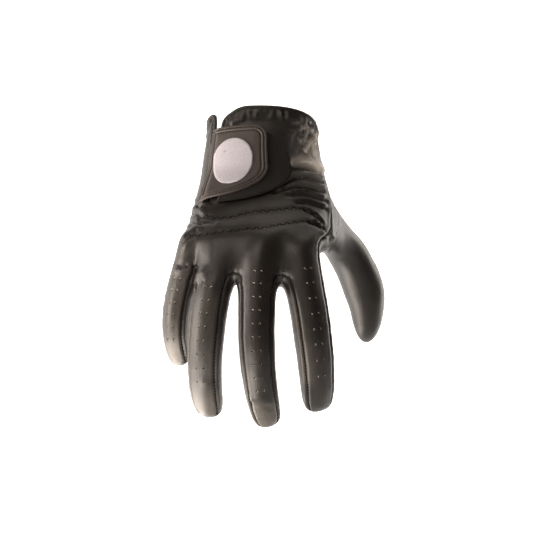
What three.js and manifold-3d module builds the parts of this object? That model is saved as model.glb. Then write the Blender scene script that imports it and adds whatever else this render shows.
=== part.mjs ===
// A right-hand bowling glove of thin black leather, in the curved form that it has when worn.
// Millimetres. +Z runs up the forearm, -Y out of the back of the hand, +X towards the thumb.
// The origin is the middle of the wrist, at the level of the strap that holds the glove on.
import * as THREE from "three";
import Module from "manifold-3d";

// Sizes of the glove as it is worn
const handBreadth = 92; // across the knuckles, outside the leather
const handDepth = 30; // back to palm at the knuckles
const wristBreadth = 76;
const wristDepth = 47;
const palmLength = 74; // strap to middle knuckle
const cuffLength = 31; // strap to the bound edge at the back of the wrist
const wristLean = 16; // degrees that the cuff leans towards the back of the hand
const wristBend = 40; // degrees that the hand is bent back at the wrist
const fingerLength = 109; // middle finger, knuckle to tip
const fingerWidth = 20.5;
const fingerDepth = 19;
const webDepth = 22; // knuckle to the web between two fingers
const thumbLength = 120; // root to tip
const thumbWidth = 23;
const airHoleSize = 1.3; // punched in pairs down the fingers and the thumb
const airHolePair = 4; // between the two holes of a pair

// Leather and trimmings
const leather = 1.2; // wall
const seamGap = 0.5; // between two panels that are sewn edge to edge
const layerGap = 0.55; // between layers that lie on each other
const slitLength = 62; // from the bound edge down to the end of the slit
const slitOpening = 4.5; // at the bound edge
const flapDrop = 6; // rounding of the flap's corner beside the slit
const bindingWidth = 2.5;
const bindingThickness = 2.2;
const tabLength = 38; // sewn edge to rounded end, round the wrist
const tabWidth = 57; // along the forearm
const tabCentre = 11; // middle of the tab, below the strap's level
const tabCorner = 8.5; // at its upper end
const tabLowerCorner = 28;
const tabThickness = 1.8;
const tabBorder = 3; // flat margin round the padded middle
const tabLean = 2; // how far the sewn edge leans over the tab's width
const patchStart = 12; // from the tab's sewn edge, past the slit's bound edge
const patchReach = 13.5; // loop fabric that shows past the end of the tab
const patchDrop = 4; // and below it
const patchCorner = 21;
const patchLowerCorner = 34;
const patchThickness = 1;
const patchRise = 1; // more room under its lower end, where the wrist is hollow
const badgeWidth = 22.5; // round the wrist
const badgeHeight = 38.5; // along the forearm, where the tab leans away with the hand
const badgeRaise = 7; // from the tab's middle up to the badge's widest part
const badgeFall = 0.68; // share of its height below that, where the tab leans away the most
const badgeInset = 6.6; // the badge's near edge, from the tab's sewn edge
const badgeThickness = 0.6;

// How far the worn leather swells and folds
const foldHeight = 1.6;
const gatherHeight = 0.7;
const thumbMuscle = 12; // the ball of the thumb, out of the palm
const webBulge = 6; // towards the thumb, beside the palm

const black = { leather: 0x35322f, fabric: 0x1d1b1a, binding: 0x2a2826, badge: 0xc9c6c4 };

// Fingers from the little one to the index. Lengths, widths and places are shares of the sizes above.
// across: place of the knuckle over the hand. along: how far down the palm it lies.
// back: how far it stands out of the hand's middle plane. Angles are degrees:
// roll turns the nail towards the thumb, splay leans the finger towards the thumb,
// and tilt leans it out of the back of the hand, each for the three bones in turn.
// holes: the first and the last pair of air holes as shares of the finger's length, and how many.
const fingers = [
  { name: "little", across: -0.86, along: 0.86, back: -0.1, length: 0.685, width: 0.78,
    roll: -24, bones: [0.44, 0.27, 0.29], splay: [-18, -8, 13], tilt: [22, 6, -14],
    holes: { first: 0.33, last: 0.76, pairs: 6 } },
  { name: "ring", across: -0.5, along: 0.95, back: 0.02, length: 0.965, width: 0.98,
    roll: -17, bones: [0.45, 0.29, 0.26], splay: [-11.5, -3.5, 8], tilt: [24, 2, -26],
    holes: { first: 0.28, last: 0.75, pairs: 8 } },
  { name: "middle", across: -0.03, along: 1.0, back: 0.06, length: 1.01, width: 0.97,
    roll: 0, bones: [0.45, 0.29, 0.26], splay: [-3, 3, 14], tilt: [22, 0, -30],
    holes: { first: 0.17, last: 0.74, pairs: 10 } },
  { name: "index", across: 0.45, along: 0.97, back: 0.0, length: 0.925, width: 1.03,
    roll: 16, bones: [0.45, 0.29, 0.26], splay: [11, 6, 3], tilt: [20, 2, -32],
    holes: { first: 0.17, last: 0.73, pairs: 8 } },
];

// Rings along a finger, from the web to the tip: place as a share of the length beyond the web
const fingerRings = [
  { at: 0.0, width: 1.04, depth: 1.12 },
  { at: 0.22, width: 1.02, depth: 1.03 },
  { at: 0.48, width: 1.0, depth: 0.97 },
  { at: 0.72, width: 0.92, depth: 0.87 },
  { at: 0.88, width: 0.87, depth: 0.76 },
  { at: 0.97, width: 0.66, depth: 0.5 },
];
const ringAngles = [148, 90, 32, -4, -38, -90, -142, -176]; // back columns first, from the little-finger side

// Sections of the hand, from the bound edge down. at: share of the cuff's length (above the strap,
// negative) or of the palm's (below it). blend: 0 keeps the wrist's size, 1 the size at the knuckles.
// heel and web are shares of the ball of the thumb and of the bulge beside the palm.
const handSections = [
  { at: -1.0, blend: 0.0, width: 0.93, back: 1.0, palm: 0.95, shift: 0.0, heel: 0.0, web: 0.0 },
  { at: -0.6, blend: 0.0, width: 0.94, back: 0.965, palm: 0.95, shift: 0.0, heel: 0.0, web: 0.0 },
  { at: 0.0, blend: 0.1, width: 0.98, back: 0.96, palm: 0.98, shift: 0.0, heel: 0.1, web: 0.0 },
  { at: 0.14, blend: 0.24, width: 0.99, back: 0.97, palm: 0.99, shift: 0.005, heel: 0.4, web: 0.0 },
  { at: 0.27, blend: 0.42, width: 1.0, back: 0.99, palm: 1.0, shift: 0.005, heel: 0.8, web: 0.17 },
  { at: 0.4, blend: 0.62, width: 0.99, back: 1.0, palm: 1.0, shift: 0.0, heel: 1.0, web: 0.67 },
  { at: 0.54, blend: 0.8, width: 0.97, back: 1.02, palm: 1.0, shift: -0.01, heel: 1.0, web: 1.0 },
  { at: 0.69, blend: 0.95, width: 0.96, back: 1.02, palm: 1.0, shift: -0.02, heel: 0.6, web: 0.83 },
  { at: 0.84, blend: 1.0, width: 0.97, back: 1.02, palm: 1.0, shift: -0.03, heel: 0.2, web: 0.33 },
];

// The thumb: bones as shares of its length, its root as shares of the hand's sizes, and its air
// holes as a finger's, with the angle at which they face from its outer side towards its back
const thumb = {
  root: { across: 0.53, along: 0.12, palm: 0.9 }, bones: [0.38, 0.32, 0.3],
  splay: [39, 31, -5], tilt: [-16, -8, 4],
  holes: { first: 0.44, last: 0.86, pairs: 7, facing: 22 },
};
const thumbRings = [
  { at: 0.4, width: 1.14, depth: 1.3 },
  { at: 0.52, width: 1.12, depth: 1.14 },
  { at: 0.67, width: 1.24, depth: 1.08 },
  { at: 0.81, width: 0.98, depth: 0.94 },
  { at: 0.93, width: 0.66, depth: 0.66 },
];
const thumbHole = { firstRow: 4, lastRow: 7, columns: 3 }; // hand sections that the thumb's seam spans

// Folds of the worn leather: distance below the strap and half-width as shares of the palm's length,
// height as a share of the fold height, and the part of the back that they cross, as angles from the
// thumb edge (0) over the middle of the back (90)
const folds = [
  { at: 0.04, reach: 0.068, rise: 1.0, from: 8, to: 56 },
  { at: 0.19, reach: 0.06, rise: 0.62, from: 8, to: 56 },
  { at: 0.31, reach: 0.06, rise: 0.5, from: 8, to: 56 },
  { at: 0.53, reach: 0.054, rise: 0.56, from: 125, to: 175 },
];
// Elastic gathers in the same terms, as ripples that run along the forearm
const gathers = [
  { at: -0.23, reach: 0.12, rise: 1.0, from: 8, to: 60 },
  { at: 0.51, reach: 0.054, rise: 0.86, from: 125, to: 175 },
];

const degrees = Math.PI / 180;
const vector = (x, y, z) => new THREE.Vector3(x, y, z);
const mix = (a, b, t) => a + (b - a) * t;

// A direction that leans splay towards +X and tilt towards -Y, from straight down, with the normal
// and the side vector of a section across it
function frameAt(centre, splay, tilt, roll) {
  const [f, t, r] = [splay * degrees, tilt * degrees, roll * degrees];
  const along = vector(Math.sin(f) * Math.cos(t), -Math.sin(t), -Math.cos(f) * Math.cos(t));
  const flatBack = vector(-Math.sin(f) * Math.sin(t), -Math.cos(t), Math.cos(f) * Math.sin(t));
  const flatSide = flatBack.clone().cross(along);
  const back = flatBack.clone().multiplyScalar(Math.cos(r)).addScaledVector(flatSide, Math.sin(r));
  const side = flatSide.clone().multiplyScalar(Math.cos(r)).addScaledVector(flatBack, -Math.sin(r));
  return { centre, along, back, side };
}

// A centreline whose angles pass evenly from the middle of one bone to the middle of the next.
// Returns the frame at any distance from its start.
function centreline(start, lengths, splays, tilts, roll) {
  const middles = lengths.map((l, i) => lengths.slice(0, i).reduce((a, b) => a + b, 0) + l / 2);
  const angle = (table, s) => {
    if (s <= middles[0]) return table[0];
    for (let i = 1; i < middles.length; i++)
      if (s < middles[i])
        return mix(table[i - 1], table[i], (s - middles[i - 1]) / (middles[i] - middles[i - 1]));
    return table[table.length - 1];
  };
  return (distance) => {
    const steps = Math.max(1, Math.ceil(Math.abs(distance)));
    const step = distance / steps;
    const centre = start.clone();
    for (let i = 0; i < steps; i++) {
      const s = (i + 0.5) * step;
      centre.addScaledVector(frameAt(start, angle(splays, s), angle(tilts, s), 0).along, step);
    }
    return frameAt(centre, angle(splays, distance), angle(tilts, distance), roll);
  };
}

const pointOn = (frame, across, out) =>
  frame.centre.clone().addScaledVector(frame.side, across).addScaledVector(frame.back, out);

// The hand's own centreline, through the origin at the strap
const handLine = centreline(
  vector(0, 0, 0),
  [palmLength * 0.2, palmLength * 0.4, palmLength * 0.4],
  [0, 0, 0],
  [wristLean + wristBend * 0.05, wristLean + wristBend * 0.55, wristLean + wristBend],
  0,
);
const cuffLine = (distance) => frameAt(
  vector(0, 0, 0).addScaledVector(frameAt(null, 0, wristLean, 0).along, distance), 0, wristLean, 0);
const lineAt = (distance) => (distance < 0 ? cuffLine(distance) : handLine(distance));

const fingerLines = fingers.map((f) => {
  const root = lineAt(palmLength * f.along);
  const knuckle = pointOn(root, (f.across * handBreadth) / 2, f.back * handDepth);
  const length = fingerLength * f.length;
  return { ...f, length, at: centreline(knuckle, f.bones.map((b) => b * length), f.splay, f.tilt, f.roll) };
});

const thumbRoot = pointOn(lineAt(palmLength * thumb.root.along),
  (thumb.root.across * handBreadth) / 2, (-thumb.root.palm * handDepth) / 2);
const thumbLine = centreline(thumbRoot, thumb.bones.map((b) => b * thumbLength), thumb.splay, thumb.tilt, 0);

// The cage: vertices, and faces that each belong to one panel
const columnSpread = 0.42; // of a finger's width, between the columns on its back
const knuckleSag = 2.5; // how far the leather dips between two knuckles
const knuckleEdge = 0.6; // of a finger's width, from the outer fingers to the hand's edges
const swell = 1.1; // a smoothed eight-sided ring shrinks by this
const thumbSwell = 1.05; // and the thumb's twelve-sided ring by this
const vertices = [];
const faces = [];
const add = (p) => vertices.push(p) - 1;
const face = (panel, ...corners) => faces.push({ panel, corners, hand: false });

function ringVertex(frame, width, depth, angle) {
  const a = angle * degrees;
  return add(pointOn(frame, (width / 2) * Math.cos(a) * swell, (depth / 2) * Math.sin(a) * swell));
}

// Columns round the hand: three on the back of each finger, the thumb edge, three on each palm side,
// and the little-finger edge
const backColumns = fingers.length * 3;
const thumbEdge = backColumns;
const littleEdge = backColumns * 2 + 1;
const columnCount = littleEdge + 1;
const backColumn = (finger, k) => finger * 3 + k;
const palmColumn = (finger, k) => littleEdge - 1 - (finger * 3 + k);

const columnStep = 180 / (backColumns + 1);
const sectionAngle = (column) =>
  column <= thumbEdge ? 180 - (column + 1) * columnStep : -(column - thumbEdge) * columnStep;

const distanceOf = (section) => section.at * (section.at < 0 ? cuffLength : palmLength);

// The section table at any distance from the strap
function sectionAt(distance) {
  const last = handSections.length - 1;
  let i = 1;
  while (i < last && distanceOf(handSections[i]) < distance) i++;
  const [a, b] = [handSections[i - 1], handSections[i]];
  const t = Math.min(1, Math.max(0, (distance - distanceOf(a)) / (distanceOf(b) - distanceOf(a))));
  return Object.fromEntries(Object.keys(a).map((key) => [key, mix(a[key], b[key], t)]));
}

// The hand's outside at a distance from the strap and an angle: 0 thumb edge, 90 back, -90 palm
const sideRound = 0.9; // exponents of a rounded section: below 1 is squarer than an ellipse
const backRound = 0.85;
function handSurface(distance, angle) {
  const section = sectionAt(distance);
  const frame = lineAt(distance);
  const a = angle * degrees;
  const half = (mix(wristBreadth, handBreadth, section.blend) * section.width) / 2;
  const depth = (mix(wristDepth, handDepth, section.blend) / 2) * (Math.sin(a) > 0 ? section.back : section.palm);
  return pointOn(frame, half * Math.sign(Math.cos(a)) * Math.abs(Math.cos(a)) ** sideRound + section.shift * handBreadth,
    depth * Math.sign(Math.sin(a)) * Math.abs(Math.sin(a)) ** backRound);
}

const slitColumn = backColumn(0, 2);
const body = []; // body[row][column], and body[row].slit for the slit's second edge

function buildHand() {
  handSections.forEach((section) => {
    const { side, back, along } = lineAt(distanceOf(section));
    body.push([...Array(columnCount).keys()].map((column) => {
      const p = handSurface(distanceOf(section), sectionAngle(column));
      p.addScaledVector(along, cuffDrop(column) * Math.max(0, -section.at));
      if (column === thumbEdge) p.addScaledVector(side, section.web * webBulge);
      p.addScaledVector(back, -section.heel * thumbMuscle * (muscleShares[column - thumbEdge] ?? 0));
      return add(p);
    }));
  });
  const knuckleRow = [];
  const webRow = [];
  fingerLines.forEach((f, i) => {
    const width = fingerWidth * f.width;
    const knuckle = f.at(0);
    for (let k = 0; k < 3; k++) {
      const spread = (k - 1) * width * columnSpread;
      const sag = k === 1 ? 0 : -knuckleSag;
      knuckleRow[backColumn(i, k)] = add(pointOn(knuckle, spread, handDepth / 2 + sag));
      knuckleRow[palmColumn(i, k)] = add(pointOn(knuckle, spread, -handDepth / 2 - sag * 0.3));
    }
    const web = f.at(webDepth * (f.length / fingerLength));
    const ring = fingerRings[0];
    ringAngles.forEach((angle, k) => {
      const column = k < 3 ? backColumn(i, k) : k > 3 && k < 7 ? palmColumn(i, 6 - k) : -1;
      const v = ringVertex(web, width * ring.width, fingerDepth * f.width * ring.depth, angle);
      if (column >= 0) webRow[column] = v;
      else if (k === 3) f.thumbSide = v;
      else f.littleSide = v;
    });
  });
  const last = fingerLines.length - 1;
  const radial = fingerLines[last];
  const ulnar = fingerLines[0];
  knuckleRow[thumbEdge] = add(pointOn(radial.at(0), fingerWidth * radial.width * knuckleEdge, 0));
  knuckleRow[littleEdge] = add(pointOn(ulnar.at(0), -fingerWidth * ulnar.width * knuckleEdge, 0));
  webRow[thumbEdge] = radial.thumbSide;
  webRow[littleEdge] = ulnar.littleSide;
  body.push(knuckleRow, webRow);
}

// How the ball of the thumb swells, column by column from the thumb edge
const muscleShares = [0.33, 0.75, 1.0, 0.83, 0.42];
// The bound edge stands highest at the back and falls towards the palm, less so beside the slit
const cuffFall = { share: 0.15, slitSide: 0.4 };
const cuffDrop = (column) => cuffLength * cuffFall.share * (1 - Math.sin(sectionAngle(column) * degrees))
  * (column > backColumns / 2 ? 1 : cuffFall.slitSide);

function slitRows() {
  const depthOf = (row) => vertices[body[0][slitColumn]].distanceTo(vertices[body[row][slitColumn]]);
  let rows = 1;
  while (rows < body.length - 3 && depthOf(rows) < slitLength) rows++;
  return rows;
}

function openSlit(rows) {
  for (let row = 0; row < rows; row++) {
    const open = (slitOpening / 2) * (1 - row / rows);
    const across = vertices[body[row][slitColumn + 1]].clone().sub(vertices[body[row][slitColumn - 1]]).normalize();
    const far = vertices[body[row][slitColumn]].clone().addScaledVector(across, open);
    vertices[body[row][slitColumn]].addScaledVector(across, -open);
    [1, 0.5].forEach((share, k) => {
      vertices[body[row][slitColumn - 1 - k]].addScaledVector(across, -open * share);
      vertices[body[row][slitColumn + 1 + k]].addScaledVector(across, open * share);
    });
    const drop = flapDrop * Math.max(0, -handSections[row].at) ** 2;
    far.z -= drop;
    vertices[body[row][slitColumn + 1]].z -= drop * 0.5;
    body[row].slit = add(far);
  }
}

function panelOf(column) {
  if (column < thumbEdge - 1 || column === littleEdge) return "back_panel";
  return "palm_panel";
}

function joinHand() {
  for (let row = 0; row + 1 < body.length; row++)
    for (let column = 0; column < columnCount; column++) {
      const inHole = row >= thumbHole.firstRow && row < thumbHole.lastRow
        && column >= thumbEdge && column < thumbEdge + thumbHole.columns;
      if (inHole) continue;
      const next = (column + 1) % columnCount;
      const left = (r) => (column === slitColumn && body[r].slit !== undefined ? body[r].slit : body[r][column]);
      const corners = [left(row), left(row + 1), body[row + 1][next], body[row][next]];
      faces.push({ panel: panelOf(column), corners, hand: row + 1 < handSections.length });
    }
}

function joinFingers() {
  fingerLines.forEach((f, i) => {
    const width = fingerWidth * f.width;
    const depth = fingerDepth * f.width;
    const web = webDepth * (f.length / fingerLength);
    const webRow = body[body.length - 1];
    let above = [webRow[backColumn(i, 0)], webRow[backColumn(i, 1)], webRow[backColumn(i, 2)], f.thumbSide,
      webRow[palmColumn(i, 2)], webRow[palmColumn(i, 1)], webRow[palmColumn(i, 0)], f.littleSide];
    f.base = above;
    const toLittle = i === 0 ? null : `fourchette_${fingers[i - 1].name}_${f.name}`;
    const toThumb = i === fingers.length - 1 ? null : `fourchette_${f.name}_${fingers[i + 1].name}`;
    const panels = ["back_panel", "back_panel", toThumb ?? "palm_panel", toThumb ?? "palm_panel",
      "palm_panel", "palm_panel", toLittle ?? "palm_panel", toLittle ?? "back_panel"];
    fingerRings.slice(1).forEach((ring) => {
      const frame = f.at(web + (f.length - web) * ring.at);
      const below = ringAngles.map((angle) => ringVertex(frame, width * ring.width, depth * ring.depth, angle));
      below.forEach((v, k) => face(panels[k], above[k], v, below[(k + 1) % 8], above[(k + 1) % 8]));
      above = below;
    });
    const end = add(f.at(f.length + 1).centre);
    face("back_panel", above[0], above[7], end, above[1]);
    face("back_panel", above[1], end, above[3], above[2]);
    face("palm_panel", above[7], above[6], above[5], end);
    face("palm_panel", end, above[5], above[4], above[3]);
  });
  for (let i = 0; i + 1 < fingers.length; i++) {
    const [a, b] = [fingerLines[i].base, fingerLines[i + 1].base];
    const panel = `fourchette_${fingers[i].name}_${fingers[i + 1].name}`;
    face(panel, a[2], a[3], b[7], b[0]);
    face(panel, a[3], a[4], b[6], b[7]);
  }
}

function joinThumb() {
  const { firstRow, lastRow, columns } = thumbHole;
  const inner = [...Array(columns - 1).keys()].map((c) => thumbEdge + 1 + c);
  const rows = [...Array(lastRow - firstRow + 1).keys()].map((r) => r + firstRow);
  let above = [
    ...inner.map((c) => body[lastRow][c]).reverse(), ...rows.map((r) => body[r][thumbEdge]).reverse(),
    ...inner.map((c) => body[firstRow][c]), ...rows.map((r) => body[r][thumbEdge + columns]),
  ];
  const count = above.length;
  thumbRings.forEach((ring) => {
    const frame = thumbLine(thumbLength * ring.at);
    const below = above.map((_, k) => {
      const a = ((k - (columns - 2) / 2) / count) * 2 * Math.PI;
      const across = -(thumbWidth / 2) * ring.width * Math.cos(a) * thumbSwell;
      return add(pointOn(frame, across, (thumbWidth / 2) * ring.depth * Math.sin(a) * thumbSwell));
    });
    below.forEach((v, k) => face("thumb", above[k], v, below[(k + 1) % count], above[(k + 1) % count]));
    above = below;
  });
  const tip = thumbLine(thumbLength);
  const span = count / 2 - 2;
  const middle = [above[0]];
  for (let i = 1; i < span; i++) middle.push(add(pointOn(tip, (i / span - 0.5) * thumbWidth * 0.35, 0)));
  middle.push(above[span + 2]);
  for (let i = 0; i < span; i++) {
    face("thumb", above[1 + i], middle[i], middle[i + 1], above[2 + i]);
    face("thumb", middle[i], above[count - 1 - i], above[count - 2 - i], middle[i + 1]);
  }
}

buildHand();
openSlit(slitRows());
joinHand();
joinFingers();
joinThumb();

// One round of Catmull-Clark smoothing. Faces keep their panel.
function smoothed({ points, quads }) {
  const made = [];
  const edges = new Map();
  const around = points.map(() => ({ faces: [], edges: [], rim: [] }));
  const facePoints = quads.map(({ corners }) => {
    const sum = corners.reduce((s, c) => s.add(points[c]), vector(0, 0, 0));
    return sum.multiplyScalar(1 / corners.length);
  });
  quads.forEach(({ corners }, q) => corners.forEach((a, k) => {
    const b = corners[(k + 1) % corners.length];
    const key = Math.min(a, b) + "_" + Math.max(a, b);
    if (!edges.has(key)) edges.set(key, { a, b, faces: [] });
    edges.get(key).faces.push(q);
    around[a].faces.push(q);
  }));
  for (const edge of edges.values()) {
    const middle = points[edge.a].clone().add(points[edge.b]).multiplyScalar(0.5);
    const inner = edge.faces.length === 2;
    edge.point = inner
      ? middle.clone().add(facePoints[edge.faces[0]].clone().add(facePoints[edge.faces[1]])
        .multiplyScalar(0.5)).multiplyScalar(0.5)
      : middle;
    for (const v of [edge.a, edge.b]) (inner ? around[v].edges : around[v].rim).push(middle);
  }
  const mean = (list) => list.reduce((s, p) => s.add(p), vector(0, 0, 0)).multiplyScalar(1 / list.length);
  const moved = points.map((p, i) => {
    const { faces: near, edges: spokes, rim } = around[i];
    if (rim.length) return p.clone().add(mean(rim)).multiplyScalar(0.5);
    const n = near.length;
    return mean(near.map((q) => facePoints[q])).addScaledVector(mean(spokes), 2)
      .addScaledVector(p, n - 3).multiplyScalar(1 / n);
  });
  const out = [...moved];
  for (const edge of edges.values()) edge.index = out.push(edge.point) - 1;
  quads.forEach(({ panel, corners, hand }, q) => {
    const middle = out.push(facePoints[q]) - 1;
    const edgeIndex = (a, b) => edges.get(Math.min(a, b) + "_" + Math.max(a, b)).index;
    corners.forEach((c, k) => {
      const next = corners[(k + 1) % corners.length];
      const last = corners[(k + corners.length - 1) % corners.length];
      made.push({ panel, hand, corners: [c, edgeIndex(c, next), middle, edgeIndex(last, c)] });
    });
  });
  return { points: out, quads: made };
}

const skin = smoothed({ points: vertices, quads: faces });
const handPoints = new Set(skin.quads.filter((q) => q.hand).flatMap((q) => q.corners));

function normalsOf({ points, quads }) {
  const normals = points.map(() => vector(0, 0, 0));
  for (const { corners } of quads) {
    const [a, b, c, d] = corners.map((i) => points[i]);
    const n = c.clone().sub(a).cross(d.clone().sub(b));
    corners.forEach((i) => normals[i].add(n));
  }
  return normals.map((n) => n.normalize());
}

// Where a point of the hand lies: its distance from the strap and its angle round the section
function placeOf(p) {
  let best = { gap: Infinity };
  for (let distance = -cuffLength; distance <= palmLength; distance++) {
    const frame = lineAt(distance);
    const offset = p.clone().sub(frame.centre);
    const gap = Math.abs(offset.dot(frame.along));
    if (gap < best.gap) {
      const angle = Math.atan2(offset.dot(frame.back) / wristDepth, offset.dot(frame.side) / wristBreadth);
      best = { gap, distance, angle: angle / degrees };
    }
  }
  return best;
}

const fade = (t) => (t < 0 ? 0 : t > 1 ? 1 : t * t * (3 - 2 * t));
const window = ({ from, to }, angle) => fade((angle - from) / edgeFade) * fade((to - angle) / edgeFade);
const edgeFade = 12; // degrees over which a fold dies out

function crease() {
  const outward = normalsOf(skin);
  for (const v of handPoints) {
    const { distance, angle } = placeOf(skin.points[v]);
    let rise = 0;
    for (const fold of folds) {
      const t = (distance / palmLength - fold.at) / fold.reach;
      rise += foldHeight * fold.rise * Math.exp(-t * t) * window(fold, angle);
    }
    for (const gather of gathers) {
      const t = (distance / palmLength - gather.at) / gather.reach;
      const ripple = Math.cos((angle / columnStep) * 2 * Math.PI);
      rise += gatherHeight * gather.rise * ripple * Math.exp(-t * t) * window(gather, angle);
    }
    skin.points[v].addScaledVector(outward[v], rise);
  }
}

crease();
const normals = normalsOf(skin);

function geometryOf(points, triangles) {
  const geometry = new THREE.BufferGeometry();
  geometry.setAttribute("position", new THREE.Float32BufferAttribute(points.flatMap((p) => [p.x, p.y, p.z]), 3));
  geometry.setIndex(triangles.flat());
  geometry.computeVertexNormals();
  return geometry;
}

const keyOf = (a, b) => Math.min(a, b) + "_" + Math.max(a, b);

// The edges that only one of the faces has, in the direction in which that face runs
function rimOf(quads) {
  const edges = new Map();
  for (const corners of quads)
    corners.forEach((a, k) => {
      const b = corners[(k + 1) % corners.length];
      if (edges.has(keyOf(a, b))) edges.set(keyOf(a, b), null);
      else edges.set(keyOf(a, b), [a, b]);
    });
  return [...edges.values()].filter((edge) => edge);
}

// The way from each rim vertex into the faces: square to the edge, and longer where the edge turns
function inwardOf(rim) {
  const next = new Map(rim);
  const last = new Map(rim.map(([a, b]) => [b, a]));
  return new Map(rim.map(([v]) => {
    const p = skin.points[v];
    const coming = p.clone().sub(skin.points[last.get(v)]).normalize();
    const going = skin.points[next.get(v)].clone().sub(p).normalize();
    const half = Math.sqrt(Math.max(0, (1 + coming.dot(going)) / 2));
    const step = normals[v].clone().cross(coming.add(going)).normalize();
    return [v, step.multiplyScalar(1 / Math.max(sharpestMitre, half))];
  }));
}

const openRim = rimOf(skin.quads.map((q) => q.corners));

const sharpestMitre = 0.6;
const openInward = inwardOf(openRim);

// A panel as a wall: its outer face on the skin, its inner face one leather below, its sewn edges
// drawn back by half the seam gap and its open edges by the width of the binding
function panelGeometry(panel) {
  const quads = skin.quads.filter((q) => q.panel === panel).map((q) => q.corners);
  const rim = rimOf(quads);
  const inward = inwardOf(rim);
  const open = new Set(openRim.map(([a, b]) => keyOf(a, b)));
  const sewn = new Set(rim.filter(([a, b]) => !open.has(keyOf(a, b))).flat());
  const index = new Map();
  const outer = [];
  const inner = [];
  for (const v of new Set(quads.flat())) {
    const p = skin.points[v].clone();
    const down = openInward.get(v);
    if (down) p.addScaledVector(down, bindingWidth + seamGap);
    if (sewn.has(v)) {
      const step = inward.get(v);
      if (down) step.addScaledVector(down, -step.dot(down) / down.lengthSq()).normalize();
      p.addScaledVector(step, seamGap / 2);
    }
    index.set(v, outer.push(p) - 1);
    inner.push(p.clone().addScaledVector(normals[v], -leather));
  }
  const count = outer.length;
  const triangles = [];
  const quad = (a, b, c, d) => triangles.push([a, b, c], [a, c, d]);
  for (const corners of quads) {
    const [a, b, c, d] = corners.map((v) => index.get(v));
    quad(a, b, c, d);
    quad(d + count, c + count, b + count, a + count);
  }
  for (const [a, b] of rim) {
    const [i, j] = [index.get(a), index.get(b)];
    quad(j, i, i + count, j + count);
  }
  return geometryOf([...outer, ...inner], triangles);
}

// The binding's section: shares of its width from the edge, and of its thickness about the leather
const bindingSection = [
  { in: 0, out: -0.22 }, { in: 0, out: 0.22 }, { in: 0.25, out: 0.5 },
  { in: 1, out: 0.4 }, { in: 1, out: -0.4 }, { in: 0.25, out: -0.5 },
];

function bindingGeometry() {
  const next = new Map(openRim);
  const loop = [openRim[0][0]];
  while (next.get(loop[loop.length - 1]) !== loop[0]) loop.push(next.get(loop[loop.length - 1]));
  const sides = bindingSection.length;
  const points = loop.flatMap((v) => bindingSection.map((corner) => skin.points[v].clone()
    .addScaledVector(openInward.get(v), corner.in * bindingWidth)
    .addScaledVector(normals[v], corner.out * bindingThickness - leather / 2)));
  const triangles = [];
  loop.forEach((_, i) => bindingSection.forEach((__, k) => {
    const j = ((i + 1) % loop.length) * sides;
    const m = (k + 1) % sides;
    triangles.push([i * sides + k, j + m, i * sides + m], [i * sides + k, j + k, j + m]);
  }));
  return geometryOf(points, triangles);
}

// Lengths round the wrist at the strap, from the tab's sewn edge towards the thumb
const sewnAngle = 148;
const walkStep = 0.5; // degrees
function angleAt(length) {
  let angle = sewnAngle;
  let left = length;
  for (;;) {
    const step = handSurface(0, angle).distanceTo(handSurface(0, angle - walkStep));
    if (step > left) return angle - (walkStep * left) / step;
    left -= step;
    angle -= walkStep;
  }
}

// A point over the wrist: round it from the tab's sewn edge, along it from the strap, and above it
function overWrist(round, along, lift) {
  const angle = angleAt(round);
  const p = handSurface(along, angle);
  const u = handSurface(along, angle - 1).sub(p);
  const v = handSurface(along + 1, angle).sub(p);
  return p.addScaledVector(u.cross(v).normalize(), -lift);
}

// A rounded sheet over the wrist, as a grid that narrows at its rounded corners. Its sewn edge
// leans away from the little-finger side towards the bound edge of the wrist
function sheetGeometry({ start, lean, end, low, high, corner, lowerCorner, under, over, rounds, alongs }) {
  const rows = alongs.map((share) => mix(low, high, share));
  const points = [];
  for (const side of [over, under])
    rows.forEach((along) => {
      const radius = along - low < high - along ? corner : lowerCorner;
      const past = Math.max(0, radius - Math.min(along - low, high - along));
      const inset = radius - Math.sqrt(radius * radius - past * past);
      const first = start + (lean * (high - along)) / (high - low);
      rounds.forEach((share) => {
        const round = mix(first, end - inset, share);
        const rim = Math.min(round - first, end - inset - round, along - low, high - along);
        points.push(overWrist(round, along, side(round, rim, along)));
      });
    });
  const n = rounds.length;
  const half = rows.length * n;
  const triangles = [];
  const quad = (a, b, c, d) => triangles.push([a, b, c], [a, c, d]);
  for (let r = 0; r + 1 < rows.length; r++)
    for (let c = 0; c + 1 < n; c++) {
      const i = r * n + c;
      quad(i, i + n, i + n + 1, i + 1);
      quad(half + i + 1, half + i + n + 1, half + i + n, half + i);
    }
  const wall = (a, b) => quad(a, b, b + half, a + half);
  for (let c = 0; c + 1 < n; c++) {
    wall(c, c + 1);
    wall(half - n + c + 1, half - n + c);
  }
  for (let r = 0; r + 1 < rows.length; r++) {
    wall((r + 1) * n, r * n);
    wall((r + 1) * n - 1, (r + 2) * n - 1);
  }
  return geometryOf(points, triangles);
}

// The loop fabric lies on the leather, and the tab rises from its sewn edge to lie on the fabric
const underPatch = (round, rim, along) => layerGap + patchRise * fade((along - tabCentre) / (tabWidth / 3));
const underTab = (round, rim, along) => underPatch(round, rim, along)
  + fade(round / (tabLength / 5)) * (layerGap + patchThickness);
const borderShare = 0.7; // of the tab's thickness, in its flat margin
const tabTop = (round, rim, along) => underTab(round, rim, along)
  + tabThickness * mix(borderShare, 1, fade((2 * rim) / tabBorder - 4 / 3));

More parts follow.
